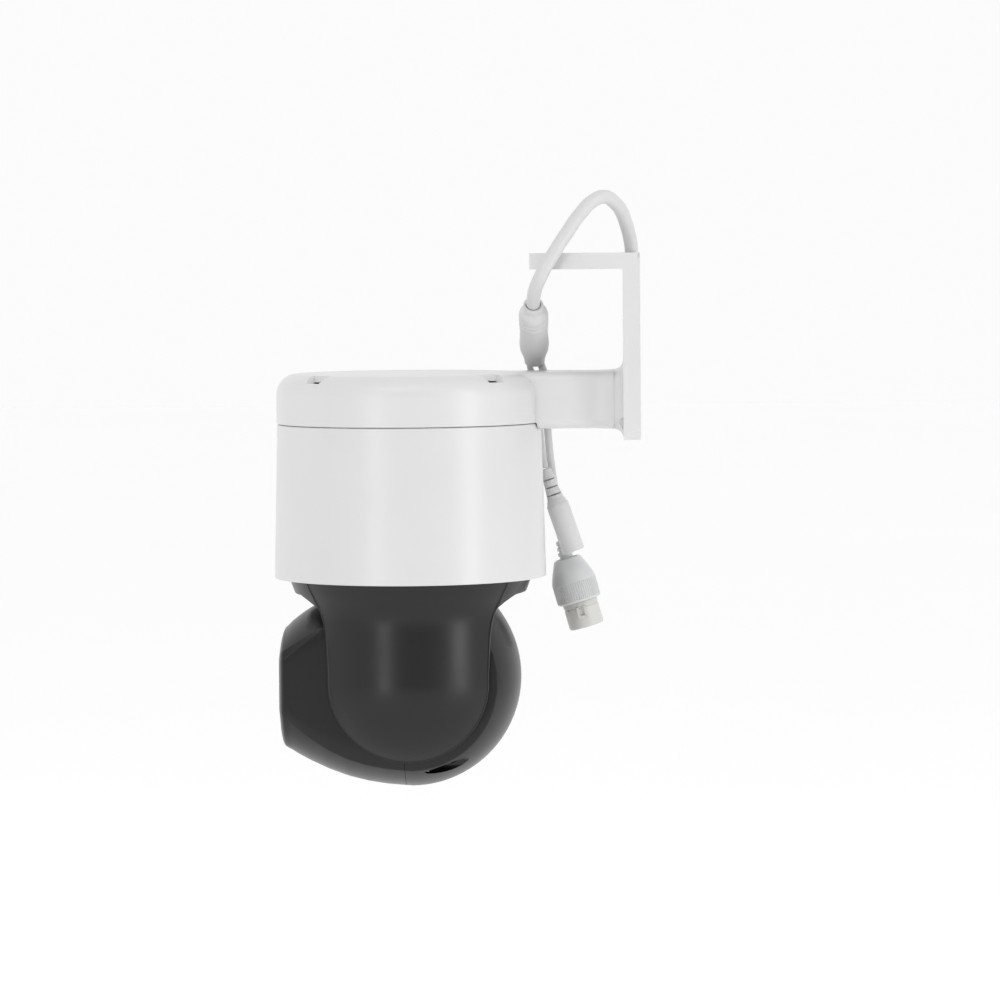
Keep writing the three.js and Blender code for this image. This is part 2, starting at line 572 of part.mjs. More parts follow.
function headShells() {
  const envelope = headEnvelope(0);
  const hollow = headEnvelope(WALL);
  const front = (y) => block([-70, -80, -70], [70, y, 70]);
  const rear = (y) => block([-70, y, -70], [70, 80, 70]);
  const trunnion = rod(at(-40, 0, 0), at(40, 0, 0), 7.3, 28);
  let face = cut(envelope, hollow).intersect(front(HEAD_SPLIT_Y - GAP / 2));
  let back = cut(envelope, hollow).intersect(rear(HEAD_SPLIT_Y + GAP / 2));
  for (const side of [-1, 1]) {
    const point = (y) => at(side * HEAD_SCREW.x, y, HEAD_SCREW.z);
    const sleeve = rod(point(-16), point(-2.15), 3.2, 14);
    const pillar = rod(point(-1.85), point(18), 4.6, 18);
    face = join(face, sleeve.intersect(envelope));
    back = join(back, pillar.intersect(envelope));
    back = cut(back, rod(point(6), point(30), 3.4, 18), rod(point(-5), point(10), 1.6, 12));
    face = cut(face, rod(point(-13), point(0), 1.6, 12));
  }
  face = cut(face, trunnion, alongY(windowShape(44, 32, 6), -70, -50));
  back = cut(back, trunnion);
  add('head_front_shell', face, BLACK_PLASTIC, head);
  add('head_rear_shell', back, BLACK_PLASTIC, head);
}

function headScrews() {
  for (const [name, side] of [['head_screw_left', -1], ['head_screw_right', 1]]) {
    const seat = at(side * HEAD_SCREW.x, 6.3, HEAD_SCREW.z);
    const tip = at(side * HEAD_SCREW.x, -11.5, HEAD_SCREW.z);
    add(name, screw(seat, tip, 2.7, 2, 1.25), STEEL, head);
  }
}

// A depth range behind the flat face, as a range of y from the tilt axis.
function behindFace(front, back) {
  return [FACE_Y + front, FACE_Y + back];
}

// A profile of (radius, depth behind the face), with its depths turned into y.
function fromFace(profile) {
  return profile.map(([radius, depth]) => [radius, FACE_Y + depth]);
}

function windowPieces() {
  const glass = alongY(windowShape(43.4, 31.4, 5.7), ...behindFace(0.2, 4));
  const flange = alongY(windowShape(49, 37, 8), ...behindFace(3.7, 4.9));
  const pane = join(glass, flange);
  add('front_window', pane, BLACK_GLOSS, head);
  const frame = alongY(windowShape(49, 37, 8), ...behindFace(2.9, 3.4));
  const gasket = cut(frame, alongY(windowShape(44.6, 32.6, 6.3), -60, -45));
  add('window_gasket', gasket, BLACK_RUBBER, head);
}

function bushes() {
  for (const [name, side] of [['tilt_bush_left', -1], ['tilt_bush_right', 1]]) {
    const ring = rod(at(side * 25.2, 0, 0), at(side * 28.8, 0, 0), 7, 28);
    const collar = rod(at(side * 24.7, 0, 0), at(side * 26.1, 0, 0), 8.6, 28);
    add(name, cut(join(ring, collar), rod(at(side * 20, 0, 0), at(side * 30, 0, 0), 5.3, 24)), NYLON, head);
  }
}

// ---- optics and head electronics ---------------------------------------
const LENS_AXIS_Z = -5;

function opticsPieces() {
  const start = at(0, 0, LENS_AXIS_Z);
  const ahead = at(0, 1, LENS_AXIS_Z);
  const alongLens = (profile, sides = 20) => turnedAlong(start, ahead, profile, sides);
  const tubeProfile = [[10.3, FACE_Y + 5.4], [12, FACE_Y + 5.4], [12, -40], [13.5, -40], [13.5, -14], [12, -14],
    [12, -9], [10.3, -9]];
  const filterBox = cut(block([-10, -10, -16], [22, 0.7, 6]), block([-7.5, -9, -12], [19.5, 2, 2]));
  const bore = alongLens([[0, -60], [10.3, -60], [10.3, -8], [0, -8]]);
  add('lens_barrel', cut(join(alongLens(tubeProfile), filterBox), bore), BLACK_PLASTIC, head);
  const frontLens = [[0, 5.8], [4, 6.1], [8, 7.2], [10, 8.4], [10, 10], [5, 9.2], [0, 8.9]];
  add('front_lens', alongLens(fromFace(frontLens)), GLASS, head);
  const zoomGroup = [[0, -43], [5, -43.4], [7, -44], [10, -44], [10, -38], [7, -38], [5, -38.8], [0, -39.2]];
  add('zoom_lens_group', alongLens(zoomGroup), GLASS, head);
  const focusGroup = [[0, -20.6], [5, -20], [7, -19.4], [10, -19.4], [10, -15.2], [7, -15.2], [0, -15.6]];
  add('focus_lens_group', alongLens(focusGroup), GLASS, head);
  add('ir_cut_filter', block([-6, -7.6, LENS_AXIS_Z - 6], [6, -6.4, LENS_AXIS_Z + 6]), GLASS, head);
  const sensor = block([-5, -2.5, LENS_AXIS_Z - 4], [5, 1.5, LENS_AXIS_Z + 4]);
  const socket = block([8, 2, 8], [18, 5, 12]);
  add('image_board', join(block([-17, 1, -20], [22, 2.6, 16]), sensor, socket), BOARD_GREEN, head);
  const sink = finnedBlock(18, 20, 8, 5, 2.5).rotate([-90, 0, 0]).translate([11, 2.9, -8]);
  add('head_heat_sink', sink, ALUMINIUM, head);
  const lampBoard = alongY(windowShape(47, 30, 5), ...behindFace(9.2, 10.6));
  add('lamp_board', cut(lampBoard, alongLens([[0, -60], [12.6, -60], [12.6, -40], [0, -40]])), BOARD_GREEN, head);
  for (const [name, x] of [['lamp_lens_left', -18], ['lamp_lens_right', 18]]) {
    const profile = fromFace([[0, 5.3], [2.4, 5.5], [3.6, 6.6], [3.8, 8.9], [0, 8.9]]);
    add(name, turnedAlong(at(x, 0, LENS_AXIS_Z), at(x, 1, LENS_AXIS_Z), profile, 12), GLASS, head);
  }
  const [y, z] = tiltPinionPlace();
  const motor = rod(at(-19, y, z), at(-4, y, z), 10, 24);
  add('tilt_motor', cut(motor, rod(at(-22, y, z), at(-14.8, y, z), 1.9, 12)), STEEL, head);
}

// ---- cables -------------------------------------------------------------
const HELD_ROUTE = [[0, -72, 0], [0, -60, 0], [0, -45, 0], [0, -30, 0], [0, -20, 0], [0, -14.5, 0.6],
  [0, -9.6, 2.8], [0, -5.7, 6.6], [0, -3.7, 11.4], [0, CHANNEL_CABLE_Y, 18], [0, CHANNEL_CABLE_Y, 34],
  [0, CHANNEL_CABLE_Y, 50], [0, CHANNEL_CABLE_Y, PLATE_HIGH - 1.8]];

const LOOP_ROUTE = [[0, CHANNEL_CABLE_Y, PLATE_HIGH - 1], [0.2, -3.7, 67], [1.4, -4.4, 71.2], [3.6, -5.3, 74.8],
  [6.4, -6.3, 78], [10, -7.7, 81.6], [15, -10.4, 85.4], [21, -15.4, 88.2], [25.6, -21.2, 85.6], [28, -25.3, 81.2],
  [30, -28.4, 77.2], [31.6, -31, 73.2], [33.2, -33.8, 69.2], [34.2, -36.4, 65], [34.5, -39.2, 60.6],
  [33.6, -41.6, 56.4], [31.4, -43.6, 52.4], [27.6, -45.2, 48.6], [22.6, -46.1, 45], [17.6, -46.4, 42]];

const SPLITTER_TOP = at(17.3, -46.4, 41.8);
const SPLITTER_END = at(-14.4, -46.6, 15.8);

const DC_ROUTE = [[-14.8, -48.9, 15.4], [-18, -48.6, 13.2], [-21.2, -47.4, 10.2], [-23.4, -45.8, 6],
  [-24.2, -45, 0], [-24.2, -44.8, -8], [-23.6, -44.4, -16], [-22.6, -43.6, -24], [-22, -42.5, -31.4]];

const NETWORK_ROUTE = [[-14.8, -43.9, 15.5], [-18.4, -43.2, 13], [-21.8, -42, 9.6], [-24.4, -41.3, 4],
  [-25.4, -41.2, -5], [-26.2, -41.2, -14], [-27.8, -40.6, -23], [-30.4, -39.6, -32], [-32.6, -38.4, -41],
  [-33, -37.2, -50], [-33, -36.3, -57.5], [-33, -35.6, -63.9]];

function splitter() {
  const length = SPLITTER_TOP.distanceTo(SPLITTER_END);
  const profile = [[0, 2.5], [3.6, 2.5], [3.6, 0], [6.2, 0], [6.6, 1], [6.6, 4], [6.1, 4.4], [6.1, 5.4], [6.6, 5.8]];
  profile.push([6.5, 20], [6.2, 30], [5.2, 35], [3.2, length - 2.4], [0, length - 2.4]);
  const barrel = turnedAlong(SPLITTER_TOP, SPLITTER_END, profile, 16);
  const direction = SPLITTER_END.clone().sub(SPLITTER_TOP).normalize();
  const outlets = [-2.5, 2.5].map((offset) => {
    const end = SPLITTER_END.clone().add(at(0, offset, 0));
    return rod(end.clone().addScaledVector(direction, -9), end, 3, 10, 2.3);
  });
  return join(barrel, ...outlets);
}

// A bore is never cut right through a socket, so each keeps one closed skin.
const JACK_TOP = at(-22, -42.4, -31.8);
const JACK_END = at(-22, -30, -68.4);
const NETWORK_TOP = at(-33, -35.5, -64.3);
const NETWORK_END = at(-33, -24.4, -102.8);

function ribbed(start, ribs, pitch, small, large) {
  const profile = [];
  for (let i = 0; i < ribs; i += 1) {
    const s = start + i * pitch;
    const grow = (i / ribs) * 0.8;
    profile.push([large + grow, s], [large + grow, s + pitch * 0.55]);
    profile.push([small + grow, s + pitch * 0.6], [small + grow, s + pitch]);
  }
  return profile;
}

function jackPieces() {
  const length = JACK_TOP.distanceTo(JACK_END);
  const barrel = [[0, 0], ...ribbed(0, 4, 3.2, 2.2, 2.9), [4.4, 14], [5, 15.2], [5, length - 0.6], [4.6, length],
    [2.9, length], [2.9, length - 10], [0, length - 10]];
  add('dc_jack', turnedAlong(JACK_TOP, JACK_END, barrel, 14), WHITE_RUBBER);
  const pin = [[0, length - 9.7], [1, length - 9.7], [1, length - 1.2], [0, length - 0.8]];
  add('dc_pin', turnedAlong(JACK_TOP, JACK_END, pin, 8), STEEL);
}

function networkPieces() {
  const length = NETWORK_TOP.distanceTo(NETWORK_END);
  const line = (profile, sides) => turnedAlong(NETWORK_TOP, NETWORK_END, profile, sides);
  const boot = [[0, 0], ...ribbed(0, 3, 2.4, 2.4, 3), [3.6, 7.6], [5.2, 8], [0, 8]];
  add('network_boot', line(boot, 12), GREY_PLASTIC);
  const cone = [[3.9, 7.6], [5.5, 8.4], [9.2, 17], [10, 18.6], [10, 27.6], [9.4, 28.2]];
  let nut = line([...cone, [8.2, 28.2], [8.2, 20], [3.9, 11]], 20);
  nut = cut(nut, line([[0, 7], [5.5, 7], [5.5, 8.3], [0, 8.3]], 20));
  add('network_nut', nut, GREY_PLASTIC);
  const shell = [[0, 20.4], [7.7, 20.4], [7.7, 28.6], [7.9, 28.6], [7.9, length - 0.8], [7.3, length], [0, length]];
  const socket = line(shell, 20);
  const direction = NETWORK_END.clone().sub(NETWORK_TOP).normalize();
  const turn = new THREE.Quaternion().setFromUnitVectors(at(0, 0, -1), direction);
  const place = (geometry) => solid(geometry.applyQuaternion(turn).translate(...NETWORK_TOP.toArray()));
  const mouth = place(new THREE.BoxGeometry(11.8, 6.8, 14).translate(0, -1, -length + 6.8));
  const latch = place(new THREE.BoxGeometry(6, 3, 14).translate(0, 3.4, -length + 6.8));
  const lug = (side) => new THREE.BoxGeometry(2.4, 3, 4).translate(side * 8.2, 0, -length + 6);
  const lugs = [-1, 1].map((side) => place(lug(side)));
  add('network_socket', cut(join(socket, ...lugs), mouth, latch), GREY_PLASTIC);
}

function cablePieces() {
  add('held_cable', tube(HELD_ROUTE, CABLE_RADIUS - 0.1, 22, 8), WHITE_RUBBER);
  add('cable_loop', tube(LOOP_ROUTE, CABLE_RADIUS, 28, 8), WHITE_RUBBER);
  add('cable_splitter', splitter(), WHITE_RUBBER);
  add('dc_tail', tube(DC_ROUTE, DC_TAIL_RADIUS, 16, 8), WHITE_RUBBER);
  add('network_tail', tube(NETWORK_ROUTE, NETWORK_TAIL_RADIUS, 24, 8), WHITE_RUBBER);
  jackPieces();
  networkPieces();
}

bracketPieces();
coverPieces();
housingPieces();
yokePieces();
pinionPieces();
headShells();
headScrews();
windowPieces();
bushes();
opticsPieces();
cablePieces();

export default model;
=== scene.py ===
"""Looks of a small pan-tilt-zoom camera on its bracket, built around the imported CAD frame.

Lengths are named in millimetres in the row frame (+Z up, wall at y = 0, lens towards -Y)
and turned into metres when a mesh or curve is made.
"""
import json
import math

import bmesh
import bpy
from mathutils import Matrix, Vector


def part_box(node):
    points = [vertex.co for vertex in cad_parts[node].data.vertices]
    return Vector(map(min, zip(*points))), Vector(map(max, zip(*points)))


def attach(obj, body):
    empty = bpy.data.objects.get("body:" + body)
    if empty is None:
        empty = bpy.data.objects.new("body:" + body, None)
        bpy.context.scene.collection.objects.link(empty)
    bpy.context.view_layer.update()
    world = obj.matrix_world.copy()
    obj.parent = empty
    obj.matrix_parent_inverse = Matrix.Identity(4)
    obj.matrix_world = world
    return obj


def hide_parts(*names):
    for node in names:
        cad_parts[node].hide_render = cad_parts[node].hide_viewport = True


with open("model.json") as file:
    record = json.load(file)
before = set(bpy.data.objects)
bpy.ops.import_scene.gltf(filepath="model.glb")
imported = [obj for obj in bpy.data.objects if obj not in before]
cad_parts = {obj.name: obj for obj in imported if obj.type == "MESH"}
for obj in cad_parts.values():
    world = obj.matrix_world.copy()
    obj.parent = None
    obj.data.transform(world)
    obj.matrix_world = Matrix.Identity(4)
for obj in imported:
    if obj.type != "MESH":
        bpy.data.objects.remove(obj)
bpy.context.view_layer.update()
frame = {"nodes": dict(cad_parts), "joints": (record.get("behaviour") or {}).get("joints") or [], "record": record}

MM = 0.001


def box_mm(node):
    """Lowest and highest corner of a CAD node, in millimetres."""
    return [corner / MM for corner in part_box(node)]


joint_place = {j["name"]: Vector(j["pos_m"]) / MM for j in frame["joints"] if j["type"] == "hinge"}
PAN_Y = joint_place["pan"].y
TILT_Z = joint_place["tilt"].z
TILT_CENTRE = Vector((0, PAN_Y, TILT_Z))

# ---- driving sizes ------------------------------------------------------
PLATE_LOW, PLATE_HIGH = (corner.z for corner in box_mm("wall_bracket"))
PLATE_HALF = box_mm("wall_bracket")[1].x
PLATE_THICK = 7.5
CEILING_REACH = -box_mm("wall_bracket")[0].y
CEILING_THICK = 7.0
CEILING_CORNER = 20.0
CHANNEL_WIDTH = 7.4
CHANNEL_DEPTH = 6.8
CHANNEL_LOW = 6.0
TIE_SLOT_X = 12.0
TIE_SLOT_HEIGHTS = (19.4, 38.0)
WALL_HOLE_X = 23.0
WALL_HOLE_HEIGHTS = (-10.0, 50.0)
WALL_HOLE_RADIUS = 2.5
CEILING_SLOT_X = 17.0
CEILING_SLOT_Y = -24.0
TIP_SLOT_Y = -46.0

ARM_HALF_WIDTH = 17.0
ARM_HALF_HEIGHT = 12.35
ARM_END_Y = box_mm("top_cover")[1].y
ARM_WAY_START = 64.0            # from the pan axis
ARM_WAY_HALF_WIDTH = 9.0
ARM_WAY_HALF_HEIGHT = 8.5
CABLE_WAY_RADIUS = 5.0
ARM_FLARE_Y = -27.0
ARM_FLARE_WIDTH = 3.2
ARM_FLARE_HEIGHT = 0.3
ARM_SCREW_X = 13.0
ARM_SCREW_WAY = 1.9
ARM_SCREW_SEAT = 3.3

CAP_TOP = 12.2
CAP_RADIUS = box_mm("top_cover")[1].x
SHOULDER = 9.3
SEAM_Z = -9.75
HOUSING_BOTTOM = box_mm("main_housing")[0].z
HOUSING_RADIUS = box_mm("main_housing")[1].x
HOUSING_TOP_RADIUS = 58.0
WALL = 2.6
GAP = 0.3
POCKET_FLOOR = 8.7
CAP_HOLLOW_RADIUS = 47.0
COVER_SCREW_REACH = 53.4        # from the pan axis
COVER_SCREW_SEAT = 6.2
COVER_SCREW_AZIMUTHS = (45, 135, 225, 315)
COUNTERBORE_RADIUS = 2.6

FLANGE_TOP = HOUSING_BOTTOM - GAP
FLANGE_TOP_RADIUS = 53.3
FLANGE_LOW = -84.0
FLANGE_LOW_RADIUS = 50.9
YOKE_RADIUS = 47.5
FORK_INSIDE = 29.6
TONGUE_RADIUS = 35.2
TONGUE_CENTRE = 0.1
DISH_RADIUS = 48.9
DISH_WALL = 2.5
FORK_ARM_RADIUS = 29.5
AXLE_WAY_RADIUS = 5.3
FORK_WEB = (38.5, 52.0)         # the webs' near and far ends, from the pan axis
FLANGE_CORE_RADIUS = 45.0
SIDE_COVER_RIM = 0.9
SIDE_COVER_RIM_DROP = 0.55      # as a share of the rim's width
SIDE_COVER_WALL = 1.8

BALL_RADIUS = 48.4
HEAD_HALF = box_mm("head_front_shell")[1].x
FACE_EDGE_Y = -54.4            # where the domed face starts, from the tilt axis
SPLIT_Y = -2.0
HEAD_SCREW = (24.6, -37.0)
HEAD_PILLAR_RADIUS = 4.4
HEAD_RECESS_RADIUS = 3.5
TRUNNION_RADIUS = 7.3
LENS_Z = -5.0
LENS_OPENING = 11.0
LAMP_OPENING = 3.8
LAMP_X = 18.0
PANE_FRONT = -62.0
PANE_BACK = -54.6
PANE_INSET = 0.15

CABLE_WIDTH = 6.0
DC_TAIL_WIDTH = 2.8
NETWORK_TAIL_WIDTH = 3.4
KNURLS = 60
CONTACTS = 8

FLOOR_Z = -330.0
FLOOR_HALF = 9000.0
FLOOR_GLOW = 0.09
SKY_WHITE = 0.97
SKY_DARK_PATCH = 0.1


# ---- camera -------------------------------------------------------------
CAMERA_AZIMUTH = 91.6
CAMERA_HEIGHT_ANGLE = 3.35
CAMERA_ROLL = -0.47
CAMERA_DISTANCE = 1905.0
SENSOR = 36.0
LENS = 156.0
LOOK_AT = Vector((0, -62.0, -44.2))


def make_camera():
    azimuth = math.radians(CAMERA_AZIMUTH)
    height = math.radians(CAMERA_HEIGHT_ANGLE)
    level = math.cos(height)
    back = Vector((math.sin(azimuth) * level, -math.cos(azimuth) * level, math.sin(height)))
    data = bpy.data.cameras.new("camera")
    data.sensor_width = SENSOR
    data.lens = LENS
    data.clip_end = 50
    camera = bpy.data.objects.new("camera", data)
    bpy.context.scene.collection.objects.link(camera)
    turn = (-back).to_track_quat("-Z", "Y").to_matrix().to_4x4()
    roll = Matrix.Rotation(math.radians(CAMERA_ROLL), 4, "Z")
    camera.matrix_world = Matrix.Translation((LOOK_AT + back * CAMERA_DISTANCE) * MM) @ turn @ roll
    bpy.context.scene.camera = camera


# ---- making meshes ------------------------------------------------------
def link(obj):
    bpy.context.scene.collection.objects.link(obj)
    return obj


def mesh_object(name, vertices, faces, angle=30):
    """A closed mesh from millimetre vertices, smooth except where it turns sharply."""
    mesh = bpy.data.meshes.new(name)
    mesh.from_pydata([Vector(v) * MM for v in vertices], [], faces)
    work = bmesh.new()
    work.from_mesh(mesh)
    bmesh.ops.remove_doubles(work, verts=work.verts, dist=1e-6)
    bmesh.ops.dissolve_degenerate(work, edges=work.edges, dist=1e-7)
    bmesh.ops.recalc_face_normals(work, faces=work.faces)
    work.to_mesh(mesh)
    work.free()
    obj = link(bpy.data.objects.new(name, mesh))
    shade(obj, angle)
    return obj


def shade(obj, angle=30):
    obj.data.shade_smooth()
    obj.data.set_sharp_from_angle(angle=math.radians(angle))


def apply_modifiers(obj, angle=30):
    graph = bpy.context.evaluated_depsgraph_get()
    made = bpy.data.meshes.new_from_object(obj.evaluated_get(graph))
    obj.modifiers.clear()
    obj.data = made
    shade(obj, angle)
    return obj


def boolean(obj, operation, *others, angle=30):
    """Joins, cuts or intersects obj with each other object, which is used up."""
    for other in others:
        modifier = obj.modifiers.new("boolean", "BOOLEAN")
        modifier.operation = operation
        modifier.solver = "EXACT"
        modifier.object = other
    apply_modifiers(obj, angle)
    for other in others:
        bpy.data.objects.remove(other)
    return obj


def bevel(obj, width, segments=2, limit=35, angle=40):
    modifier = obj.modifiers.new("bevel", "BEVEL")
    modifier.width = width * MM
    modifier.segments = segments
    modifier.limit_method = "ANGLE"
    modifier.angle_limit = math.radians(limit)
    modifier.use_clamp_overlap = True
    modifier.miter_outer = "MITER_ARC"
    return apply_modifiers(obj, angle)


def rings_to_mesh(name, rings, closed_ends=True, angle=30, wrap=False):
    """Skins a row of rings that all have the same number of points."""
    count = len(rings[0])
    vertices = [point for ring in rings for point in ring]
    faces = []
    pairs = len(rings) if wrap else len(rings) - 1
    for i in range(pairs):
        here, there = i * count, ((i + 1) % len(rings)) * count
        for k in range(count):
            nxt = (k + 1) % count
            faces.append((here + k, here + nxt, there + nxt, there + k))
    if closed_ends and not wrap:
        faces.append(tuple(range(count))[::-1])
        faces.append(tuple(range(len(vertices) - count, len(vertices))))
    return mesh_object(name, vertices, faces, angle)


def arc(centre, radius, start, end, steps):
    """Points of an arc in (r, z), from one angle in degrees to another."""
    points = []
    for i in range(steps + 1):
        angle = math.radians(start + (end - start) * i / steps)
        points.append((centre[0] + radius * math.cos(angle), centre[1] + radius * math.sin(angle)))
    return points


def turned(name, profile, centre, direction=(0, 0, 1), sides=128, angle=30, ripple=None):
    """A closed profile of (radius, height) turned about a line through centre."""
    closed = profile[0][0] > 1e-6 or profile[-1][0] > 1e-6
    turn = Vector((0, 0, 1)).rotation_difference(Vector(direction)).to_matrix()
    rings = []
    for radius, height in profile:
        ring = []
        for k in range(sides):
            angle_k = 2 * math.pi * k / sides
            wide = radius + (ripple(k, height) if ripple else 0)
            local = Vector((wide * math.cos(angle_k), wide * math.sin(angle_k), height))
            ring.append(Vector(centre) + turn @ local)
        rings.append(ring)
    return rings_to_mesh(name, rings, closed_ends=False, angle=angle, wrap=closed)


def rounded_outline(half_u, half_v, radius, steps=6):
    points = []
    for corner, (su, sv) in enumerate(((1, -1), (1, 1), (-1, 1), (-1, -1))):
        for i in range(steps + 1):
            angle = math.radians(-90 + 90 * corner + 90 * i / steps)
            u = su * (half_u - radius) + radius * math.cos(angle)
            v = sv * (half_v - radius) + radius * math.sin(angle)
            points.append((u, v))
    return points


def prism(name, outline, low, high, axis, angle=30):
    """An outline given thickness along an axis: x takes (y, z), y takes (x, z), z takes (x, y)."""
    place = {
        "x": lambda u, v, w: (w, u, v),
        "y": lambda u, v, w: (u, w, v),
        "z": lambda u, v, w: (u, v, w),
    }[axis]
    rings = [[place(u, v, w) for u, v in outline] for w in (low, high)]
    return rings_to_mesh(name, rings, angle=angle)


def block(name, low, high):
    outline = [(low[0], low[1]), (high[0], low[1]), (high[0], high[1]), (low[0], high[1])]
    return prism(name, outline, low[2], high[2], "z")


def rod(name, start, end, radius, sides=32, far_radius=None):
    start, end = Vector(start), Vector(end)
    far = radius if far_radius is None else far_radius
    length = (end - start).length
    profile = [(0, 0), (radius, 0), (far, length), (0, length)]
    return turned(name, profile, start, (end - start).normalized(), sides)


# ---- materials ----------------------------------------------------------
def new_material(name):
    material = bpy.data.materials.new(name)
    material.use_nodes = True
    nodes = material.node_tree.nodes
    return material, nodes, material.node_tree.links, nodes["Principled BSDF"]


def add_noise(nodes, links, scale, detail=3.0):
    coordinates = nodes.new("ShaderNodeTexCoord")
    noise = nodes.new("ShaderNodeTexNoise")
    noise.inputs["Scale"].default_value = scale
    noise.inputs["Detail"].default_value = detail
    links.new(coordinates.outputs["Object"], noise.inputs["Vector"])
    return noise


def add_ramp(nodes, links, noise, socket, low, high, spread=0.25):
    """Feeds a socket with a value or colour that wanders between two limits."""
    ramp = nodes.new("ShaderNodeValToRGB")
    ramp.color_ramp.elements[0].position = 0.5 - spread
    ramp.color_ramp.elements[1].position = 0.5 + spread
    for element, value in zip(ramp.color_ramp.elements, (low, high)):
        element.color = (*value, 1) if isinstance(value, tuple) else (value, value, value, 1)
    links.new(noise.outputs["Fac"], ramp.inputs["Fac"])
    links.new(ramp.outputs["Color"], socket)


def add_grain(nodes, links, shader, scale, strength, distance):
    noise = add_noise(nodes, links, scale, 2.0)
    bump = nodes.new("ShaderNodeBump")
    bump.inputs["Strength"].default_value = strength
    bump.inputs["Distance"].default_value = distance * MM
    links.new(noise.outputs["Fac"], bump.inputs["Height"])
    links.new(bump.outputs["Normal"], shader.inputs["Normal"])


def plastic(name, dark, light, rough, grain_scale, grain, sheen=0.5, tint_scale=18):
    """Moulded plastic: faint colour drift, drifting gloss and a fine moulded grain."""
    material, nodes, links, shader = new_material(name)
    tint = add_noise(nodes, links, tint_scale)
    add_ramp(nodes, links, tint, shader.inputs["Base Color"], dark, light)
    gloss = add_noise(nodes, links, tint_scale * 2.3)
    add_ramp(nodes, links, gloss, shader.inputs["Roughness"], *rough)
    shader.inputs["Specular IOR Level"].default_value = sheen
    add_grain(nodes, links, shader, grain_scale, grain, 0.02)
    return material


def metal(name, colour, rough, scratch_scale=(60, 900, 60)):
    material, nodes, links, shader = new_material(name)
    coordinates = nodes.new("ShaderNodeTexCoord")
    stretch = nodes.new("ShaderNodeMapping")
    stretch.inputs["Scale"].default_value = scratch_scale
    noise = nodes.new("ShaderNodeTexNoise")
    noise.inputs["Scale"].default_value = 4
    noise.inputs["Detail"].default_value = 4
    links.new(coordinates.outputs["Object"], stretch.inputs["Vector"])
    links.new(stretch.outputs["Vector"], noise.inputs["Vector"])
    darker = tuple(0.82 * c for c in colour)
    add_ramp(nodes, links, noise, shader.inputs["Base Color"], darker, colour)
    add_ramp(nodes, links, noise, shader.inputs["Roughness"], rough - 0.08, rough + 0.1)
    shader.inputs["Metallic"].default_value = 1.0
    return material


def glass(name, colour, rough, coat_tint=None):
    material, nodes, links, shader = new_material(name)
    shader.inputs["Base Color"].default_value = (*colour, 1)
    shader.inputs["Transmission Weight"].default_value = 1.0
    shader.inputs["IOR"].default_value = 1.52
    add_ramp(nodes, links, add_noise(nodes, links, 40), shader.inputs["Roughness"], rough, rough + 0.02)
    if coat_tint:
        shader.inputs["Coat Weight"].default_value = 0.6
        shader.inputs["Coat Tint"].default_value = (*coat_tint, 1)
    return material


def circuit_board():
    material, nodes, links, shader = new_material("circuit_board")
    coordinates = nodes.new("ShaderNodeTexCoord")
    cells = nodes.new("ShaderNodeTexVoronoi")
    cells.inputs["Scale"].default_value = 420
    cells.distance = "MANHATTAN"
    links.new(coordinates.outputs["Object"], cells.inputs["Vector"])
    ramp = nodes.new("ShaderNodeValToRGB")
    ramp.color_ramp.elements[0].color = (0.012, 0.11, 0.05, 1)
    ramp.color_ramp.elements[1].color = (0.03, 0.2, 0.09, 1)
    links.new(cells.outputs["Distance"], ramp.inputs["Fac"])
    links.new(ramp.outputs["Color"], shader.inputs["Base Color"])
    shader.inputs["Roughness"].default_value = 0.35
    return material


WHITE = plastic("white_plastic", (0.655, 0.655, 0.655), (0.685, 0.685, 0.685),
                rough=(0.28, 0.35), grain_scale=2600, grain=0.1)
CABLE_WHITE = plastic("cable_white", (0.61, 0.61, 0.61), (0.65, 0.65, 0.65),
                      rough=(0.42, 0.52), grain_scale=1500, grain=0.16)
CONNECTOR_GREY = plastic("connector_grey", (0.58, 0.575, 0.545), (0.63, 0.625, 0.595),
                         rough=(0.36, 0.46), grain_scale=2200, grain=0.12)
NUT_WHITE = plastic("nut_white", (0.58, 0.585, 0.59), (0.64, 0.645, 0.65),
                    rough=(0.36, 0.45), grain_scale=2200, grain=0.12)
BLACK = plastic("black_plastic", (0.0024, 0.0016, 0.0024), (0.0036, 0.0026, 0.0036),
                rough=(0.28, 0.34), grain_scale=3000, grain=0.16, sheen=0.44)
BLACK_GLOSS = plastic("black_gloss", (0.003, 0.003, 0.0035), (0.005, 0.005, 0.006),
                      rough=(0.04, 0.07), grain_scale=600, grain=0.01)
BLACK_RUBBER = plastic("black_rubber", (0.012, 0.012, 0.012), (0.02, 0.02, 0.021),
                       rough=(0.65, 0.8), grain_scale=1800, grain=0.3)
NYLON = plastic("nylon", (0.7, 0.66, 0.53), (0.77, 0.73, 0.61),
                rough=(0.4, 0.5), grain_scale=1500, grain=0.15)
STEEL = metal("steel", (0.6, 0.61, 0.63), 0.3)
ALUMINIUM = metal("aluminium", (0.7, 0.71, 0.73), 0.36)
BRASS = metal("brass", (0.72, 0.52, 0.2), 0.3)
CLEAR = glass("clear_window", (0.9, 0.93, 0.95), 0.01)
COATED = glass("coated_glass", (0.75, 0.85, 0.95), 0.005, (0.5, 0.6, 1.0))
BOARD = circuit_board()

SLOT_MATERIALS = {
    "white_plastic": WHITE,
    "white_rubber": CABLE_WHITE,
    "grey_plastic": CONNECTOR_GREY,
    "black_plastic": BLACK,
    "black_rubber": BLACK_RUBBER,
    "tinted_window": BLACK_GLOSS,
    "optical_glass": COATED,
    "circuit_board": BOARD,
    "aluminium": ALUMINIUM,
    "brass": BRASS,
    "nylon": NYLON,
    "steel": STEEL,
}


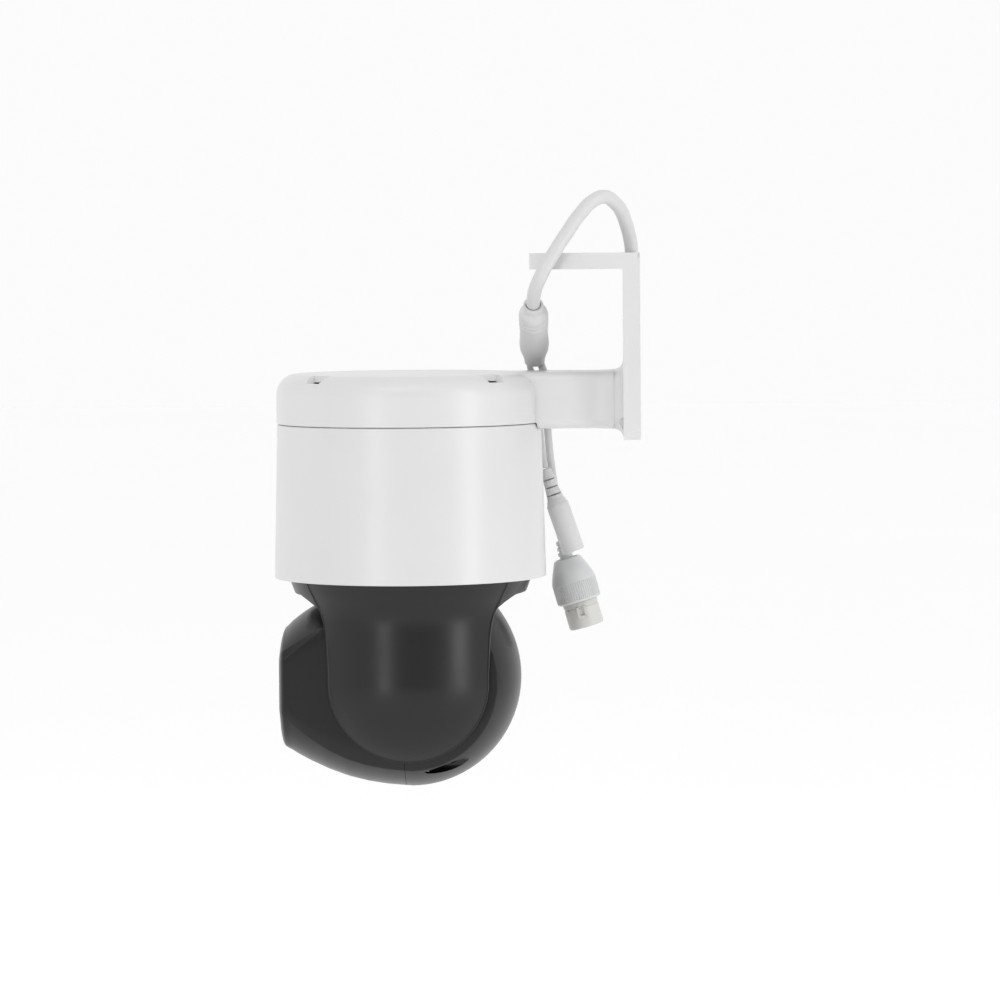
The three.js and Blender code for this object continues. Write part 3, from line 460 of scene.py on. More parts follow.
def finish_nodes():
    """Every CAD node that stays gets the procedural material of its slot."""
    slots = {part["node"]: part["material_slot"] for part in frame["record"]["subparts"]}
    for name, obj in frame["nodes"].items():
        obj.data.materials.clear()
        obj.data.materials.append(SLOT_MATERIALS[slots[name]])
        shade(obj, 35)


def place(obj, body, material, slot, *replaced):
    obj.data.materials.clear()
    obj.data.materials.append(material)
    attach(obj, body)
    if replaced:
        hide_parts(*replaced)
    return obj


# ---- cords --------------------------------------------------------------
LOOP_ROUTE = [
    (0, -3.5, 63), (0.2, -3.7, 67), (1.4, -4.4, 71.2), (3.6, -5.3, 74.8), (6.4, -6.3, 78), (10, -7.7, 81.6),
    (15, -10.4, 85.4), (21, -15.4, 88.2), (25.6, -21.2, 85.6), (28, -25.3, 81.2), (30, -28.4, 77.2),
    (31.6, -31, 73.2), (33.2, -33.8, 69.2), (34.2, -36.4, 65), (34.5, -39.2, 60.6), (33.6, -41.6, 56.4),
    (31.4, -43.6, 52.4), (27.6, -45.2, 48.6), (22.6, -46.1, 45), (17.6, -46.4, 42),
]
DC_ROUTE = [
    (-14.8, -48.9, 15.4), (-18, -48.6, 13.2), (-21.2, -47.4, 10.2), (-23.4, -45.8, 6), (-24.2, -45, 0),
    (-24.2, -44.8, -8), (-23.6, -44.4, -16), (-22.6, -43.6, -24), (-22, -42.5, -31.4),
]
NETWORK_ROUTE = [
    (-14.8, -43.9, 15.5), (-18.4, -43.2, 13), (-21.8, -42, 9.6), (-24.4, -41.3, 4), (-25.4, -41.2, -5),
    (-26.2, -41.2, -14), (-27.8, -40.6, -23), (-30.4, -39.6, -32), (-32.6, -38.4, -41), (-33, -37.2, -50),
    (-33, -36.3, -57.5), (-33, -35.6, -63.9),
]
SPLITTER_TOP = Vector((17.3, -46.4, 41.8))
SPLITTER_END = Vector((-14.4, -46.6, 15.8))
JACK_TOP = Vector((-22, -42.4, -31.8))
JACK_END = Vector((-22, -30, -68.4))
NETWORK_TOP = Vector((-33, -35.5, -64.3))
NETWORK_END = Vector((-33, -24.4, -102.8))


def route_length(curve):
    graph = bpy.context.evaluated_depsgraph_get()
    return sum(spline.calc_length() for spline in curve.evaluated_get(graph).data.splines)


def cable(name, route, width, node):
    data = bpy.data.curves.new(name, "CURVE")
    data.dimensions = "3D"
    data.bevel_depth = width / 2 * MM
    data.bevel_resolution = 8
    data.resolution_u = 10
    data.use_fill_caps = True
    spline = data.splines.new("BEZIER")
    spline.bezier_points.add(len(route) - 1)
    for point, spot in zip(spline.bezier_points, route):
        point.co = Vector(spot) * MM
        point.handle_left_type = "AUTO"
        point.handle_right_type = "AUTO"
    obj = link(bpy.data.objects.new(name, data))
    return place(obj, "root", CABLE_WHITE, "white_rubber", node)


def splitter_section(s, length):
    """Half-width across and half-depth of the splitter at a distance s from its top."""
    neck = [(0, 4.1), (0.4, 4.4), (3.2, 4.5), (4.4, 5.5), (5.8, 6.2), (7.2, 6.45), (7.8, 6.45), (8.3, 6.1)]
    neck += [(9.0, 6.1), (9.5, 6.45), (10.4, 6.45), (10.9, 6.1), (11.6, 6.1), (12.1, 6.4)]
    wide = neck + [(18, 6.1), (22, 6.2), (27, 6.5), (31, 6.2), (35, 5.2), (38, 4.6), (length, 4.4)]
    deep = neck + [(18, 6.0), (22, 5.9), (27, 5.8), (31, 5.1), (35, 3.8), (38, 3.0), (length, 2.5)]
    return interpolate(wide, s), interpolate(deep, s)


def interpolate(table, s):
    for (s0, v0), (s1, v1) in zip(table, table[1:]):
        if s <= s1:
            return v0 + (v1 - v0) * (s - s0) / (s1 - s0)
    return table[-1][1]


def make_splitter():
    axis = SPLITTER_END - SPLITTER_TOP
    length = axis.length
    direction = axis.normalized()
    across = Vector((0, 1, 0))
    across = (across - direction * across.dot(direction)).normalized()
    deep = direction.cross(across)
    sides = 64
    neck_end, body_steps = 12.1, 26
    stations = [0, 0.2, 0.4, 1.6, 3.2, 3.8, 4.4, 5.1, 5.8, 6.5, 7.2, 7.8, 8.05, 8.3, 9.0, 9.25, 9.5]
    stations += [10.4, 10.65, 10.9, 11.6, 11.85, neck_end]
    stations += [neck_end + (length - neck_end) * i / body_steps for i in range(1, body_steps + 1)]
    rings = []
    for s in stations:
        halves = splitter_section(s, length)
        rings.append(ring_at(SPLITTER_TOP + direction * s, across, deep, halves, sides))
    tip = [half - 0.5 for half in splitter_section(length, length)]
    rings.append(ring_at(SPLITTER_END + direction * 0.5, across, deep, tip, sides))
    obj = rings_to_mesh("splitter", rings, angle=25)
    mouth = rod("mouth", SPLITTER_TOP - direction, SPLITTER_TOP + direction * 3.0, 3.4, 48, 3.1)
    boolean(obj, "DIFFERENCE", mouth, angle=25)
    return place(obj, "root", CABLE_WHITE, "white_rubber", "cable_splitter")


def ring_at(centre, across, deep, halves, sides):
    ring = []
    for k in range(sides):
        angle = 2 * math.pi * k / sides
        ring.append(centre + across * (halves[0] * math.cos(angle)) + deep * (halves[1] * math.sin(angle)))
    return ring


def make_jack():
    axis = JACK_END - JACK_TOP
    length = axis.length
    direction = axis.normalized()
    boot = [(0, 0), (2.2, 0), (2.5, 0.3), (2.6, 3), (3.0, 8), (3.5, 12.5), (3.9, 14.4)]
    barrel = [(4.3, 14.9), (4.4, 15.6), (4.6, 16.1), (4.95, 16.7), (5.0, 17.4)]
    barrel += [(5.0, length - 0.5), (4.85, length - 0.1)]
    mouth = [(4.6, length), (2.95, length), (2.8, length - 0.4), (2.8, length - 10), (0, length - 10)]
    obj = turned("power_socket", boot + barrel + mouth, JACK_TOP, direction, 64, 28)
    slots = []
    for i in range(6):
        side = 1 if i % 2 else -1
        spot = JACK_TOP + direction * (3.2 + 1.75 * i)
        slots.append(slot_cutter(spot, direction, side, 2.3 + 0.16 * i))
    boolean(obj, "DIFFERENCE", *slots, angle=28)
    return place(obj, "root", CABLE_WHITE, "white_rubber", "dc_jack")


def slot_cutter(spot, direction, side, reach):
    """A thin slab that cuts a flex slot into one side of a boot."""
    out = Vector((1, 0, 0)) * side
    across = direction.cross(out).normalized()
    corners = []
    for s in (-0.32, 0.32):
        ring = []
        for u, v in ((1.0, -reach - 3), (1.0, reach + 3), (6.5, reach + 3), (6.5, -reach - 3)):
            ring.append(spot + direction * s + out * u * 0.9 + across * v)
        corners.append(ring)
    return rings_to_mesh("slot", corners)


NETWORK_AXIS = NETWORK_END - NETWORK_TOP
NETWORK_LENGTH = NETWORK_AXIS.length
NETWORK_DIRECTION = NETWORK_AXIS.normalized()


def network_turned(name, profile, sides, angle=28, ripple=None):
    return turned(name, profile, NETWORK_TOP, NETWORK_DIRECTION, sides, angle, ripple)


def network_block(name, low, high):
    """A block in the connector's own frame, whose -Z runs from the cable to the mouth."""
    turn = Vector((0, 0, -1)).rotation_difference(NETWORK_DIRECTION).to_matrix()
    outline = ((low[0], low[1]), (high[0], low[1]), (high[0], high[1]), (low[0], high[1]))
    rings = []
    for z in (low[2], high[2]):
        rings.append([NETWORK_TOP + turn @ Vector((x, y, z)) for x, y in outline])
    return rings_to_mesh(name, rings)


def make_network_boot():
    profile = [(0, 0), (2.3, 0), (2.7, 0.3)]
    for i in range(3):
        s = 0.6 + i * 2.4
        grow = 0.25 * i
        profile += [(2.9 + grow, s), (2.9 + grow, s + 1.4), (2.35 + grow, s + 1.6), (2.35 + grow, s + 2.3)]
    profile += [(3.9, 8.2), (0, 8.2)]
    return network_turned("network_boot_grip", profile, 48)


def make_network_nut():
    grip_low, grip_high = 19.0, 27.2
    profile = [(5.2, 8.3), (5.9, 8.5), (6.6, 9.8), (8.1, 13.2), (9.3, 16.4), (9.75, 18.0), (9.95, 18.7)]
    profile += [(9.95, s) for s in (grip_low, grip_low + 0.2, grip_high - 0.2, grip_high)]
    profile += [(9.75, 27.9), (9.2, 28.3), (8.2, 28.3), (8.2, 20), (5.0, 12), (5.0, 8.5)]

    def knurl(k, s):
        inside = grip_low + 0.1 < s < grip_high - 0.1
        return -0.34 if inside and k % 6 in (3, 4) else 0

    return network_turned("network_grip_nut", profile, KNURLS * 6, 24, knurl)


def make_network_socket():
    length = NETWORK_LENGTH
    profile = [(0, 20.4), (7.6, 20.4), (7.7, 20.6), (7.7, 28.4), (7.85, 28.6), (7.85, 30.2), (7.6, 30.4)]
    profile += [(7.6, 31.0), (7.85, 31.2), (7.85, length - 1.0), (7.6, length - 0.2), (7.3, length)]
    profile += [(0, length)]
    socket = network_turned("network_outlet", profile, 96)
    mouth = network_block("mouth", (-5.9, -4.4, -length - 1), (5.9, 2.4, -length + 13.8))
    latch = network_block("latch", (-3, 1.9, -length - 1), (3, 4.9, -length + 13.8))
    lugs = []
    for side in (-1, 1):
        near, far = sorted((side * 7, side * 8.9))
        for low in (-2.2, 0.9):
            lugs.append(network_block("lug", (near, low, -34.6), (far, low + 1.1, -30.4)))
        near, far = sorted((side * 7, side * 8.7))
        lugs.append(network_block("lug", (near, -2.2, -35.4), (far, 2.0, -34.5)))
    boolean(socket, "UNION", *lugs, angle=28)
    return boolean(socket, "DIFFERENCE", mouth, latch, angle=28)


def make_network_contacts():
    pitch, half = 1.02, 0.2
    blocks = []
    for i in range(CONTACTS):
        x = pitch * i - 3.57
        low = (x - half, -4.2, 3 - NETWORK_LENGTH)
        high = (x + half, -3.5, 12 - NETWORK_LENGTH)
        blocks.append(network_block("network_contacts", low, high))
    return boolean(blocks[0], "UNION", *blocks[1:])


def make_network_pieces():
    return [
        place(make_network_boot(), "root", NUT_WHITE, "grey_plastic", "network_boot"),
        place(make_network_nut(), "root", NUT_WHITE, "grey_plastic", "network_nut"),
        place(make_network_socket(), "root", CONNECTOR_GREY, "grey_plastic", "network_socket"),
        place(make_network_contacts(), "root", BRASS, "brass"),
    ]


def make_cords():
    loop = cable("loop_cable", LOOP_ROUTE, CABLE_WIDTH, "cable_loop")
    dc_tail = cable("power_tail", DC_ROUTE, DC_TAIL_WIDTH, "dc_tail")
    network_tail = cable("network_lead", NETWORK_ROUTE, NETWORK_TAIL_WIDTH, "network_tail")
    splitter = make_splitter()
    jack = make_jack()
    network = make_network_pieces()
    route_length(loop)
    route_length(dc_tail)
    route_length(network_tail)


# ---- bracket ------------------------------------------------------------
def make_bracket():
    middle = (PLATE_HIGH + PLATE_LOW) / 2
    half_height = (PLATE_HIGH - PLATE_LOW) / 2
    wall_outline = [(x, z + middle) for x, z in rounded_outline(PLATE_HALF, half_height, 5, 8)]
    bracket = prism("bracket", wall_outline, -PLATE_THICK, 0, "y")
    ceiling = prism("ceiling", ceiling_outline(), PLATE_HIGH - CEILING_THICK, PLATE_HIGH, "z")
    boolean(bracket, "UNION", ceiling, collar(), angle=40)
    boolean(bracket, "DIFFERENCE", *wall_plate_cuts(), *ceiling_plate_cuts(), angle=40)
    bevel(bracket, 0.45, 2, 50)
    return place(bracket, "root", WHITE, "white_plastic", "wall_bracket")


def ceiling_outline():
    """The ceiling plate from above: straight sides and two round front corners."""
    corner_x, corner_y = PLATE_HALF - CEILING_CORNER, CEILING_CORNER - CEILING_REACH
    outline = [(PLATE_HALF, -1.0)]
    outline += arc((corner_x, corner_y), CEILING_CORNER, 0, -90, 16)
    outline += arc((-corner_x, corner_y), CEILING_CORNER, -90, -180, 16)
    return outline + [(-PLATE_HALF, -1.0)]


def wall_plate_cuts():
    """The cable channel, the way into the arm, and the holes and tie slots of the wall plate."""
    channel = block("channel", (-CHANNEL_WIDTH / 2, -CHANNEL_DEPTH, CHANNEL_LOW),
                    (CHANNEL_WIDTH / 2, 1, PLATE_HIGH + 1))
    arm_way = block("arm_way", (-ARM_WAY_HALF_WIDTH, -20, -ARM_WAY_HALF_HEIGHT),
                    (ARM_WAY_HALF_WIDTH, -2, ARM_WAY_HALF_HEIGHT))
    cuts = [channel, arm_way]
    for side in (-1, 1):
        for z in WALL_HOLE_HEIGHTS:
            x = side * WALL_HOLE_X
            cuts.append(rod("hole", (x, -20, z), (x, 1, z), WALL_HOLE_RADIUS))
        for z in TIE_SLOT_HEIGHTS:
            tie = [(x + side * TIE_SLOT_X, v + z) for x, v in rounded_outline(1.6, 3.5, 1.0)]
            cuts.append(prism("tie_slot", tie, -20, 5, "y"))
        x = side * ARM_SCREW_X
        cuts.append(rod("arm_screw_way", (x, -20, 0), (x, 1, 0), ARM_SCREW_WAY))
        cuts.append(rod("arm_screw_seat", (x, -3.3, 0), (x, 1, 0), ARM_SCREW_SEAT))
    return cuts


def ceiling_plate_cuts():
    below, above = PLATE_HIGH - 11, PLATE_HIGH + 9
    tip = [(x, y + TIP_SLOT_Y) for x, y in rounded_outline(2.6, 9, 2.59)]
    cuts = [prism("tip_slot", tip, below, above, "z")]
    for side in (-1, 1):
        slot = [(x + side * CEILING_SLOT_X, y + CEILING_SLOT_Y) for x, y in rounded_outline(2.5, 6, 2.49)]
        cuts.append(prism("ceiling_slot", slot, below, above, "z"))
    return cuts


def collar():
    """The bracket's root for the arm: a hollow-cornered flare that runs into the plate."""
    rings = [collar_ring(0, -6.5)]
    steps = 10
    for i in range(steps + 1):
        angle = math.radians(90 * i / steps)
        rings.append(collar_ring(math.sin(angle), -PLATE_THICK - 4.1 * (1 - math.cos(angle))))
    return rings_to_mesh("collar", rings, angle=30)


def collar_ring(inward, y):
    share = 1 - inward
    half_width = ARM_HALF_WIDTH + ARM_FLARE_WIDTH + 5 * share
    half_height = ARM_HALF_HEIGHT + ARM_FLARE_HEIGHT + 4.2 * share
    return [(x, y, z) for x, z in rounded_outline(half_width, half_height, 5 + 2 * share)]


# ---- top cover and main housing ----------------------------------------
def pan_turned(name, profile, sides=160, angle=24):
    return turned(name, profile, (0, PAN_Y, 0), (0, 0, 1), sides, angle)


def make_top_cover():
    shoulder_centre = (CAP_RADIUS - SHOULDER, CAP_TOP - SHOULDER)
    profile = [(0, CAP_TOP), (20, CAP_TOP - 0.02), (44, CAP_TOP - 0.12), (50.4, CAP_TOP - 0.3)]
    profile += arc(shoulder_centre, SHOULDER, 72, 0, 12)
    profile += [(CAP_RADIUS, -2), (CAP_RADIUS, SEAM_Z + 0.35), (CAP_RADIUS - 0.35, SEAM_Z)]
    profile += [(CAP_RADIUS - WALL, SEAM_Z)]
    profile += arc(shoulder_centre, SHOULDER - WALL, 0, 90, 8) + [(0, CAP_TOP - WALL)]
    cover = pan_turned("top_shell", profile)
    arm = arm_mesh()
    clear = rod("clear", (0, PAN_Y, -40), (0, PAN_Y, SEAM_Z), CAP_RADIUS + 0.5, 160)
    hollow = rod("hollow", (0, PAN_Y, SEAM_Z - 5), (0, PAN_Y, CAP_TOP - WALL), CAP_HOLLOW_RADIUS, 96)
    boolean(arm, "DIFFERENCE", clear, hollow)
    boolean(cover, "UNION", arm)
    cuts = [block("arm_way", (-ARM_WAY_HALF_WIDTH, PAN_Y + ARM_WAY_START, -ARM_WAY_HALF_HEIGHT),
                  (ARM_WAY_HALF_WIDTH, 0, ARM_WAY_HALF_HEIGHT))]
    cuts.append(rod("cable_way", (0, PAN_Y + 40, 0), (0, PAN_Y + 70, 0), CABLE_WAY_RADIUS))
    for x in (-ARM_SCREW_X, ARM_SCREW_X):
        cuts.append(rod("screw_way", (x, PAN_Y + ARM_WAY_START, 0), (x, 0, 0), ARM_SCREW_WAY))
    for azimuth in COVER_SCREW_AZIMUTHS:
        cuts.append(pocket(azimuth))
        angle = math.radians(azimuth)
        x, y = COVER_SCREW_REACH * math.cos(angle), PAN_Y + COVER_SCREW_REACH * math.sin(angle)
        cuts.append(rod("counterbore", (x, y, COVER_SCREW_SEAT), (x, y, 20), COUNTERBORE_RADIUS))
    boolean(cover, "DIFFERENCE", *cuts, angle=24)
    return place(cover, "root", WHITE, "white_plastic", "top_cover")


def pocket(azimuth):
    """A screw pocket in the rim, with a slanted inner wall and slanted ends."""
    turn = Matrix.Rotation(math.radians(azimuth), 3, "Z")
    rings = []
    for inner, half, z in ((51.4, 4.0, POCKET_FLOOR), (48.9, 6.6, 13.2)):
        corners = ((inner, -half), (61, -half), (61, half), (inner, half))
        rings.append([Vector((0, PAN_Y, 0)) + turn @ Vector((r, side, z)) for r, side in corners])
    return rings_to_mesh("pocket", rings)


def arm_mesh():
    """The arm, widening towards the bracket in one long hollow curve."""
    flare_start, flare_end = ARM_FLARE_Y, ARM_END_Y + 0.25
    stations = [PAN_Y + 40, PAN_Y + 52, -45, -36, flare_start]
    stations += [flare_start + (flare_end - flare_start) * i / 14 for i in range(1, 15)]
    rings = []
    for y in stations:
        share = max(0.0, (y - flare_start) / (flare_end - flare_start))
        half_width = ARM_HALF_WIDTH + ARM_FLARE_WIDTH * share ** 2.4
        half_height = ARM_HALF_HEIGHT + ARM_FLARE_HEIGHT * share ** 4
        rings.append([(x, y, z) for x, z in rounded_outline(half_width, half_height, 4.2, 8)])
    return rings_to_mesh("arm", rings, angle=24)


def make_housing():
    top = SEAM_Z - GAP
    floor = HOUSING_BOTTOM + 2.8
    profile = [(54.5, HOUSING_BOTTOM + 0.25), (56.6, HOUSING_BOTTOM), (HOUSING_RADIUS - 0.4, HOUSING_BOTTOM)]
    profile += [(HOUSING_RADIUS - 0.12, HOUSING_BOTTOM + 0.12), (HOUSING_RADIUS, HOUSING_BOTTOM + 0.4)]
    profile += [(HOUSING_TOP_RADIUS + 0.02, top - 1)]
    profile += [(HOUSING_TOP_RADIUS - 0.05, top - 0.3), (HOUSING_TOP_RADIUS - 0.35, top)]
    profile += [(HOUSING_TOP_RADIUS - WALL, top), (HOUSING_RADIUS - WALL, floor)]
    profile += [(30, floor), (30, HOUSING_BOTTOM + 0.4)]
    housing = pan_turned("round_housing", profile)
    return place(housing, "root", WHITE, "white_plastic", "main_housing")


# ---- yoke ---------------------------------------------------------------
def envelope_radius(z):
    """Radius of the yoke about the pan axis at a height above the tilt axis, down to that axis."""
    top = FLANGE_TOP - TILT_Z
    low = FLANGE_LOW - TILT_Z
    table = [(0, YOKE_RADIUS), (24, YOKE_RADIUS), (26, 47.53), (28, 47.65), (29.5, 47.85), (31, 48.15)]
    table += [(32.5, 48.6), (34, 49.2), (35.5, 49.95), (36.6, 50.55), (low, FLANGE_LOW_RADIUS)]
    table += [(low + 0.5, 51.1), (top, FLANGE_TOP_RADIUS)]
    return interpolate(table, z)


def tongue_outline(grow, round_steps=40):
    """The side cover's outline in (y, z) about the tilt axis, from upper left round to upper right."""
    radius = TONGUE_RADIUS + grow
    top = FLANGE_TOP - TILT_Z
    side = [(-0.1, 2.5), (0.1, 6), (0.3, 11), (0.5, 15), (0.7, 19.5), (1.05, 22.5), (1.5, 25.5), (2.1, 28)]
    side += [(2.9, 30.5), (4.1, 33), (5.1, 35), (6.2, 37.3), (7.9, 40.7), (9.0, top)]
    right = [(radius + out, z) for out, z in side]
    left = [(-y, z) for y, z in reversed(right)]
    return left + arc((0, TONGUE_CENTRE), radius, 180, 360, round_steps) + right


def surface_x(y, z):
    """How far out the yoke's outer surface is at a point of the side view."""
    if z >= 0:
        return math.sqrt(max(envelope_radius(z) ** 2 - y * y, 0))
    return math.sqrt(max(YOKE_RADIUS ** 2 - y * y - z * z, 0))


def make_side_cover(side, name, node):
    """A shell whose outer face follows the yoke's envelope inside the tongue outline."""
    outline = tongue_outline(0)
    count = len(outline)
    steps = 24
    rows = [[cover_point(y, z, i / steps) for y, z in outline] for i in range(steps + 1)]
    for degrees in (30, 60, 90):
        rows.append([cover_rim_point(y, z, math.radians(degrees)) for y, z in outline])
    rows.append([(FORK_INSIDE + GAP, y, z) for y, z in outline])
    vertices, faces = [], []
    for row in rows:
        vertices += [TILT_CENTRE + Vector((side * max(x, FORK_INSIDE + GAP), y, z)) for x, y, z in row]
    for i in range(len(rows) - 1):
        for k in range(count - 1):
            a, b = i * count + k, (i + 1) * count + k
            faces.append((a, a + 1, b + 1, b))
    obj = mesh_object(name, vertices, faces, 28)
    thick = obj.modifiers.new("wall", "SOLIDIFY")
    thick.thickness = SIDE_COVER_WALL * MM
    thick.offset = -1
    thick.use_even_offset = False
    apply_modifiers(obj, 28)
    return place(obj, "yoke", BLACK, "black_plastic", node)


def inset(y, z, distance):
    """Moves an outline point towards the middle of the cover."""
    centre_z = max(z, TONGUE_CENTRE)
    inward = Vector((-y, centre_z - z))
    if inward.length < 1e-6:
        return y, z
    inward = inward.normalized() * min(distance, inward.length)
    return y + inward.x, z + inward.y


def cover_rim_point(y, z, angle):
    """A point of the side cover's rounded rim: at 90 degrees it is on the outline itself."""
    out_y, out_z = inset(y, z, SIDE_COVER_RIM * (1 - math.sin(angle)))
    base_y, base_z = inset(y, z, SIDE_COVER_RIM)
    x = surface_x(base_y, base_z) - SIDE_COVER_RIM * (1 - math.cos(angle)) * SIDE_COVER_RIM_DROP
    return x, out_y, out_z


def cover_point(y, z, share):
    """A point of the side cover's face, on the way from its middle line (0) to its rim (1)."""
    y, z = inset(y, z, SIDE_COVER_RIM)
    centre_z = max(z, TONGUE_CENTRE)
    y_here, z_here = y * share, centre_z + (z - centre_z) * share
    return surface_x(y_here, z_here), y_here, z_here


def sphere_height(radius, r):
    """Height of a sphere about the tilt centre, at a distance r from the pan axis."""
    return TILT_Z + math.sqrt(radius ** 2 - r * r)


def make_yoke_frame():
    profile = [(r, sphere_height(DISH_RADIUS, r)) for r in (4, 10, 16, 22, 27, 31)]
    underside = [(32, -0.2), (36, -1.0), (40, -2.2), (43.2, -2.8), (43.9, -2.7), (46, -1.8), (48.5, -0.8)]
    underside += [(50.3, -0.2), (50.8, -0.05), (51.0, 0.2), (51.15, 0.6)]
    profile += [(r, FLANGE_LOW + z) for r, z in underside] + [(FLANGE_TOP_RADIUS, FLANGE_TOP)]
    profile += [(r, sphere_height(DISH_RADIUS + DISH_WALL, r)) for r in (26.4, 20, 13, 6)]
    profile += [(6, -55), (4, -55)]
    flange = pan_turned("yoke_body", profile)
    for side in (-1, 1):
        boolean(flange, "DIFFERENCE", cover_room(side))
        near, far = FORK_WEB
        boolean(flange, "UNION", fork_arm(side), fork_web(side, -far, -near), fork_web(side, near, far))
    return place(flange, "yoke", BLACK, "black_plastic", "yoke_frame")


def cover_room(side):
    """The room cut into the flange for one side cover; the flange's middle stays whole."""
    low, high = sorted((side * FORK_INSIDE, side * 60))
    outline = [(PAN_Y + y, TILT_Z + z + (1 if z > 43 else 0)) for y, z in tongue_outline(0.25)]
    room = prism("room", outline, low, high, "x")
    core = rod("core", (0, PAN_Y, FLANGE_LOW - 20), (0, PAN_Y, FLANGE_TOP + 10), FLANGE_CORE_RADIUS, 96)
    return boolean(room, "DIFFERENCE", core)


def fork_arm(side):
    low, high = sorted((side * FORK_INSIDE, side * 33))
    outline = arc((0, 0), FORK_ARM_RADIUS, 180, 360, 40) + [(FORK_ARM_RADIUS, 41.4), (-FORK_ARM_RADIUS, 41.4)]
    arm = prism("inner_arm", [(PAN_Y + y, TILT_Z + z) for y, z in outline], low, high, "x")
    start, end = (TILT_CENTRE + Vector((side * x, 0, 0)) for x in (25, 40))
    return boolean(arm, "DIFFERENCE", rod("axle_way", start, end, AXLE_WAY_RADIUS))


def fork_web(side, front, back):
    """The hollow corner between a fork arm and the underside of the flange, on one side of the head."""
    corner = [(FORK_INSIDE, 31), (FORK_INSIDE, 38), (20, 38), (20, 37.2), (22.5, 36.3)]
    corner += [(25.5, 34.6), (28, 32.6)]
    outline = [(side * x, TILT_Z + z) for x, z in corner]
    web = prism("web", outline, PAN_Y + front, PAN_Y + back, "y")
    heights = [30 + 0.5 * i for i in range(19)]
    skin = [(envelope_radius(z), TILT_Z + z) for z in heights]
    return boolean(web, "INTERSECT", pan_turned("skin", [(0, TILT_Z + 30)] + skin + [(0, TILT_Z + 39)]))


# ---- head ---------------------------------------------------------------
# Heights above the tilt axis and radii of the nose, by y from that axis.
NOSE_TOP = [(-54.4, 22.4), (-51.9, 24.9), (-47.6, 28.2), (-44.2, 30.4), (-38, 33.3), (-31, 36.1), (-20, 38)]
CREASE_TOP = [(-54.4, 13.7), (-47.4, 18.2), (-38.4, 23.9), (-31, 27.4), (-20, 31)]
FLAT_TOP = [(-54.4, 10.0), (-47.3, 15.9), (-39.7, 21.5), (-38, 23.4), (-31, 26.4), (-20, 30)]
NOSE_LOW = [(-54.4, 30.2), (-52.9, 31.3), (-49, 34.2), (-45.3, 36.6), (-36, 45)]
NOSE_ROUND = [
    (-54.4, 32.3), (-52.9, 32.7), (-48.9, 34.8), (-45.3, 36.6), (-36.5, 40.7), (-27.8, 43.9),
    (-19.1, 46.1), (-10.4, 47.5), (0, BALL_RADIUS),
]
CREASE_X = 27.5
# The domed face: how much of the head's section is left, by y from the tilt axis.
DOME = [
    (-57.72, 0.05), (-57.69, 0.22), (-57.62, 0.38), (-57.45, 0.53), (-57.2, 0.66), (-56.85, 0.77),
    (-56.4, 0.86), (-55.9, 0.925), (-55.4, 0.965), (-54.9, 0.988), (FACE_EDGE_Y, 1.0),
]


def smooth_step(low, high, value):
    share = min(max((value - low) / (high - low), 0), 1)
    return share * share * (3 - 2 * share)


def smooth_max(a, b, width):
    blend = max(width - abs(a - b), 0)
    return max(a, b) + blend * blend / (4 * width)


def nose_top(x, y):
    """Height of the nose's crowned roof, with a steeper strip outside the crease."""
    top, crease = interpolate(NOSE_TOP, y), interpolate(CREASE_TOP, y)
    if x > CREASE_X:
        return crease + (interpolate(FLAT_TOP, y) - crease) * (x - CREASE_X) / (HEAD_HALF - CREASE_X)
    drop = top - crease
    crown = (CREASE_X ** 2 + drop ** 2) / (2 * drop)
    return top - crown + math.sqrt(crown ** 2 - x * x)


def head_top(x, y):
    ball = math.sqrt(max(BALL_RADIUS ** 2 - y * y - x * x, 0))
    return ball if y > -20 else smooth_max(ball, nose_top(x, y), 0.8)


def head_low(x, y):
    """Depth of the head below the tilt axis."""
    radius = interpolate(NOSE_ROUND, y) if y < 0 else math.sqrt(max(BALL_RADIUS ** 2 - y * y, 0))
    depth = math.sqrt(max(radius ** 2 - x * x, 0))
    return depth if y > -40 else -smooth_max(-depth, -interpolate(NOSE_LOW, y), 1.0)


def head_section(y):
    """Half outline (x, z) of the head at y, from the top middle down the side to the bottom middle."""
    radius = math.sqrt(max(BALL_RADIUS ** 2 - y * y, 0.0001))
    width = HEAD_HALF if y < 0 else min(HEAD_HALF, radius)
    top, low = head_top(width, y), head_low(width, y)
    edge = min(0.4, 0.4 * min(top, low))
    steps = 16
    across = [width * CREASE_X / HEAD_HALF * math.sin(math.pi / 2 * i / steps) for i in range(steps + 1)]
    across += [width * 28.2 / HEAD_HALF, width - edge * width / HEAD_HALF]
    points = [(x, head_top(x, y)) for x in across]
    points += edge_round(points[-1], (width, top), (width, top - edge))
    points += [(width, top - edge - (top + low - 2 * edge) * i / 8) for i in range(1, 8)]
    under = [(x, -head_low(x, y)) for x in reversed(across)]
    points.append((width, edge - low))
    points += edge_round((width, edge - low), (width, -low), under[0])
    return points + under[1:]


def edge_round(start, corner, end):
    """Three points of a curve that rounds a corner off."""
    points = []
    for t in (1 / 3, 2 / 3, 1):
        weights = ((1 - t) ** 2, 2 * t * (1 - t), t * t)
        points.append(tuple(sum(w * p[i] for w, p in zip(weights, (start, corner, end))) for i in (0, 1)))
    return points


def head_ring(y, scale=1.0, shrink=0.0):
    """A closed ring of the head, scaled and then drawn in by `shrink` all round."""
    half = head_section(max(y, FACE_EDGE_Y))
    ring = half + [(-x, z) for x, z in reversed(half[1:-1])]
    centre_z = LENS_Z * smooth_step(-20, -50, y)
    drawn = []
    for x, z in ring:
        out = Vector((x, z - centre_z)) * scale
        length = out.length
        out *= max(length - shrink, 0.01) / length
        drawn.append(TILT_CENTRE + Vector((out.x, y, centre_z + out.y)))
    return drawn


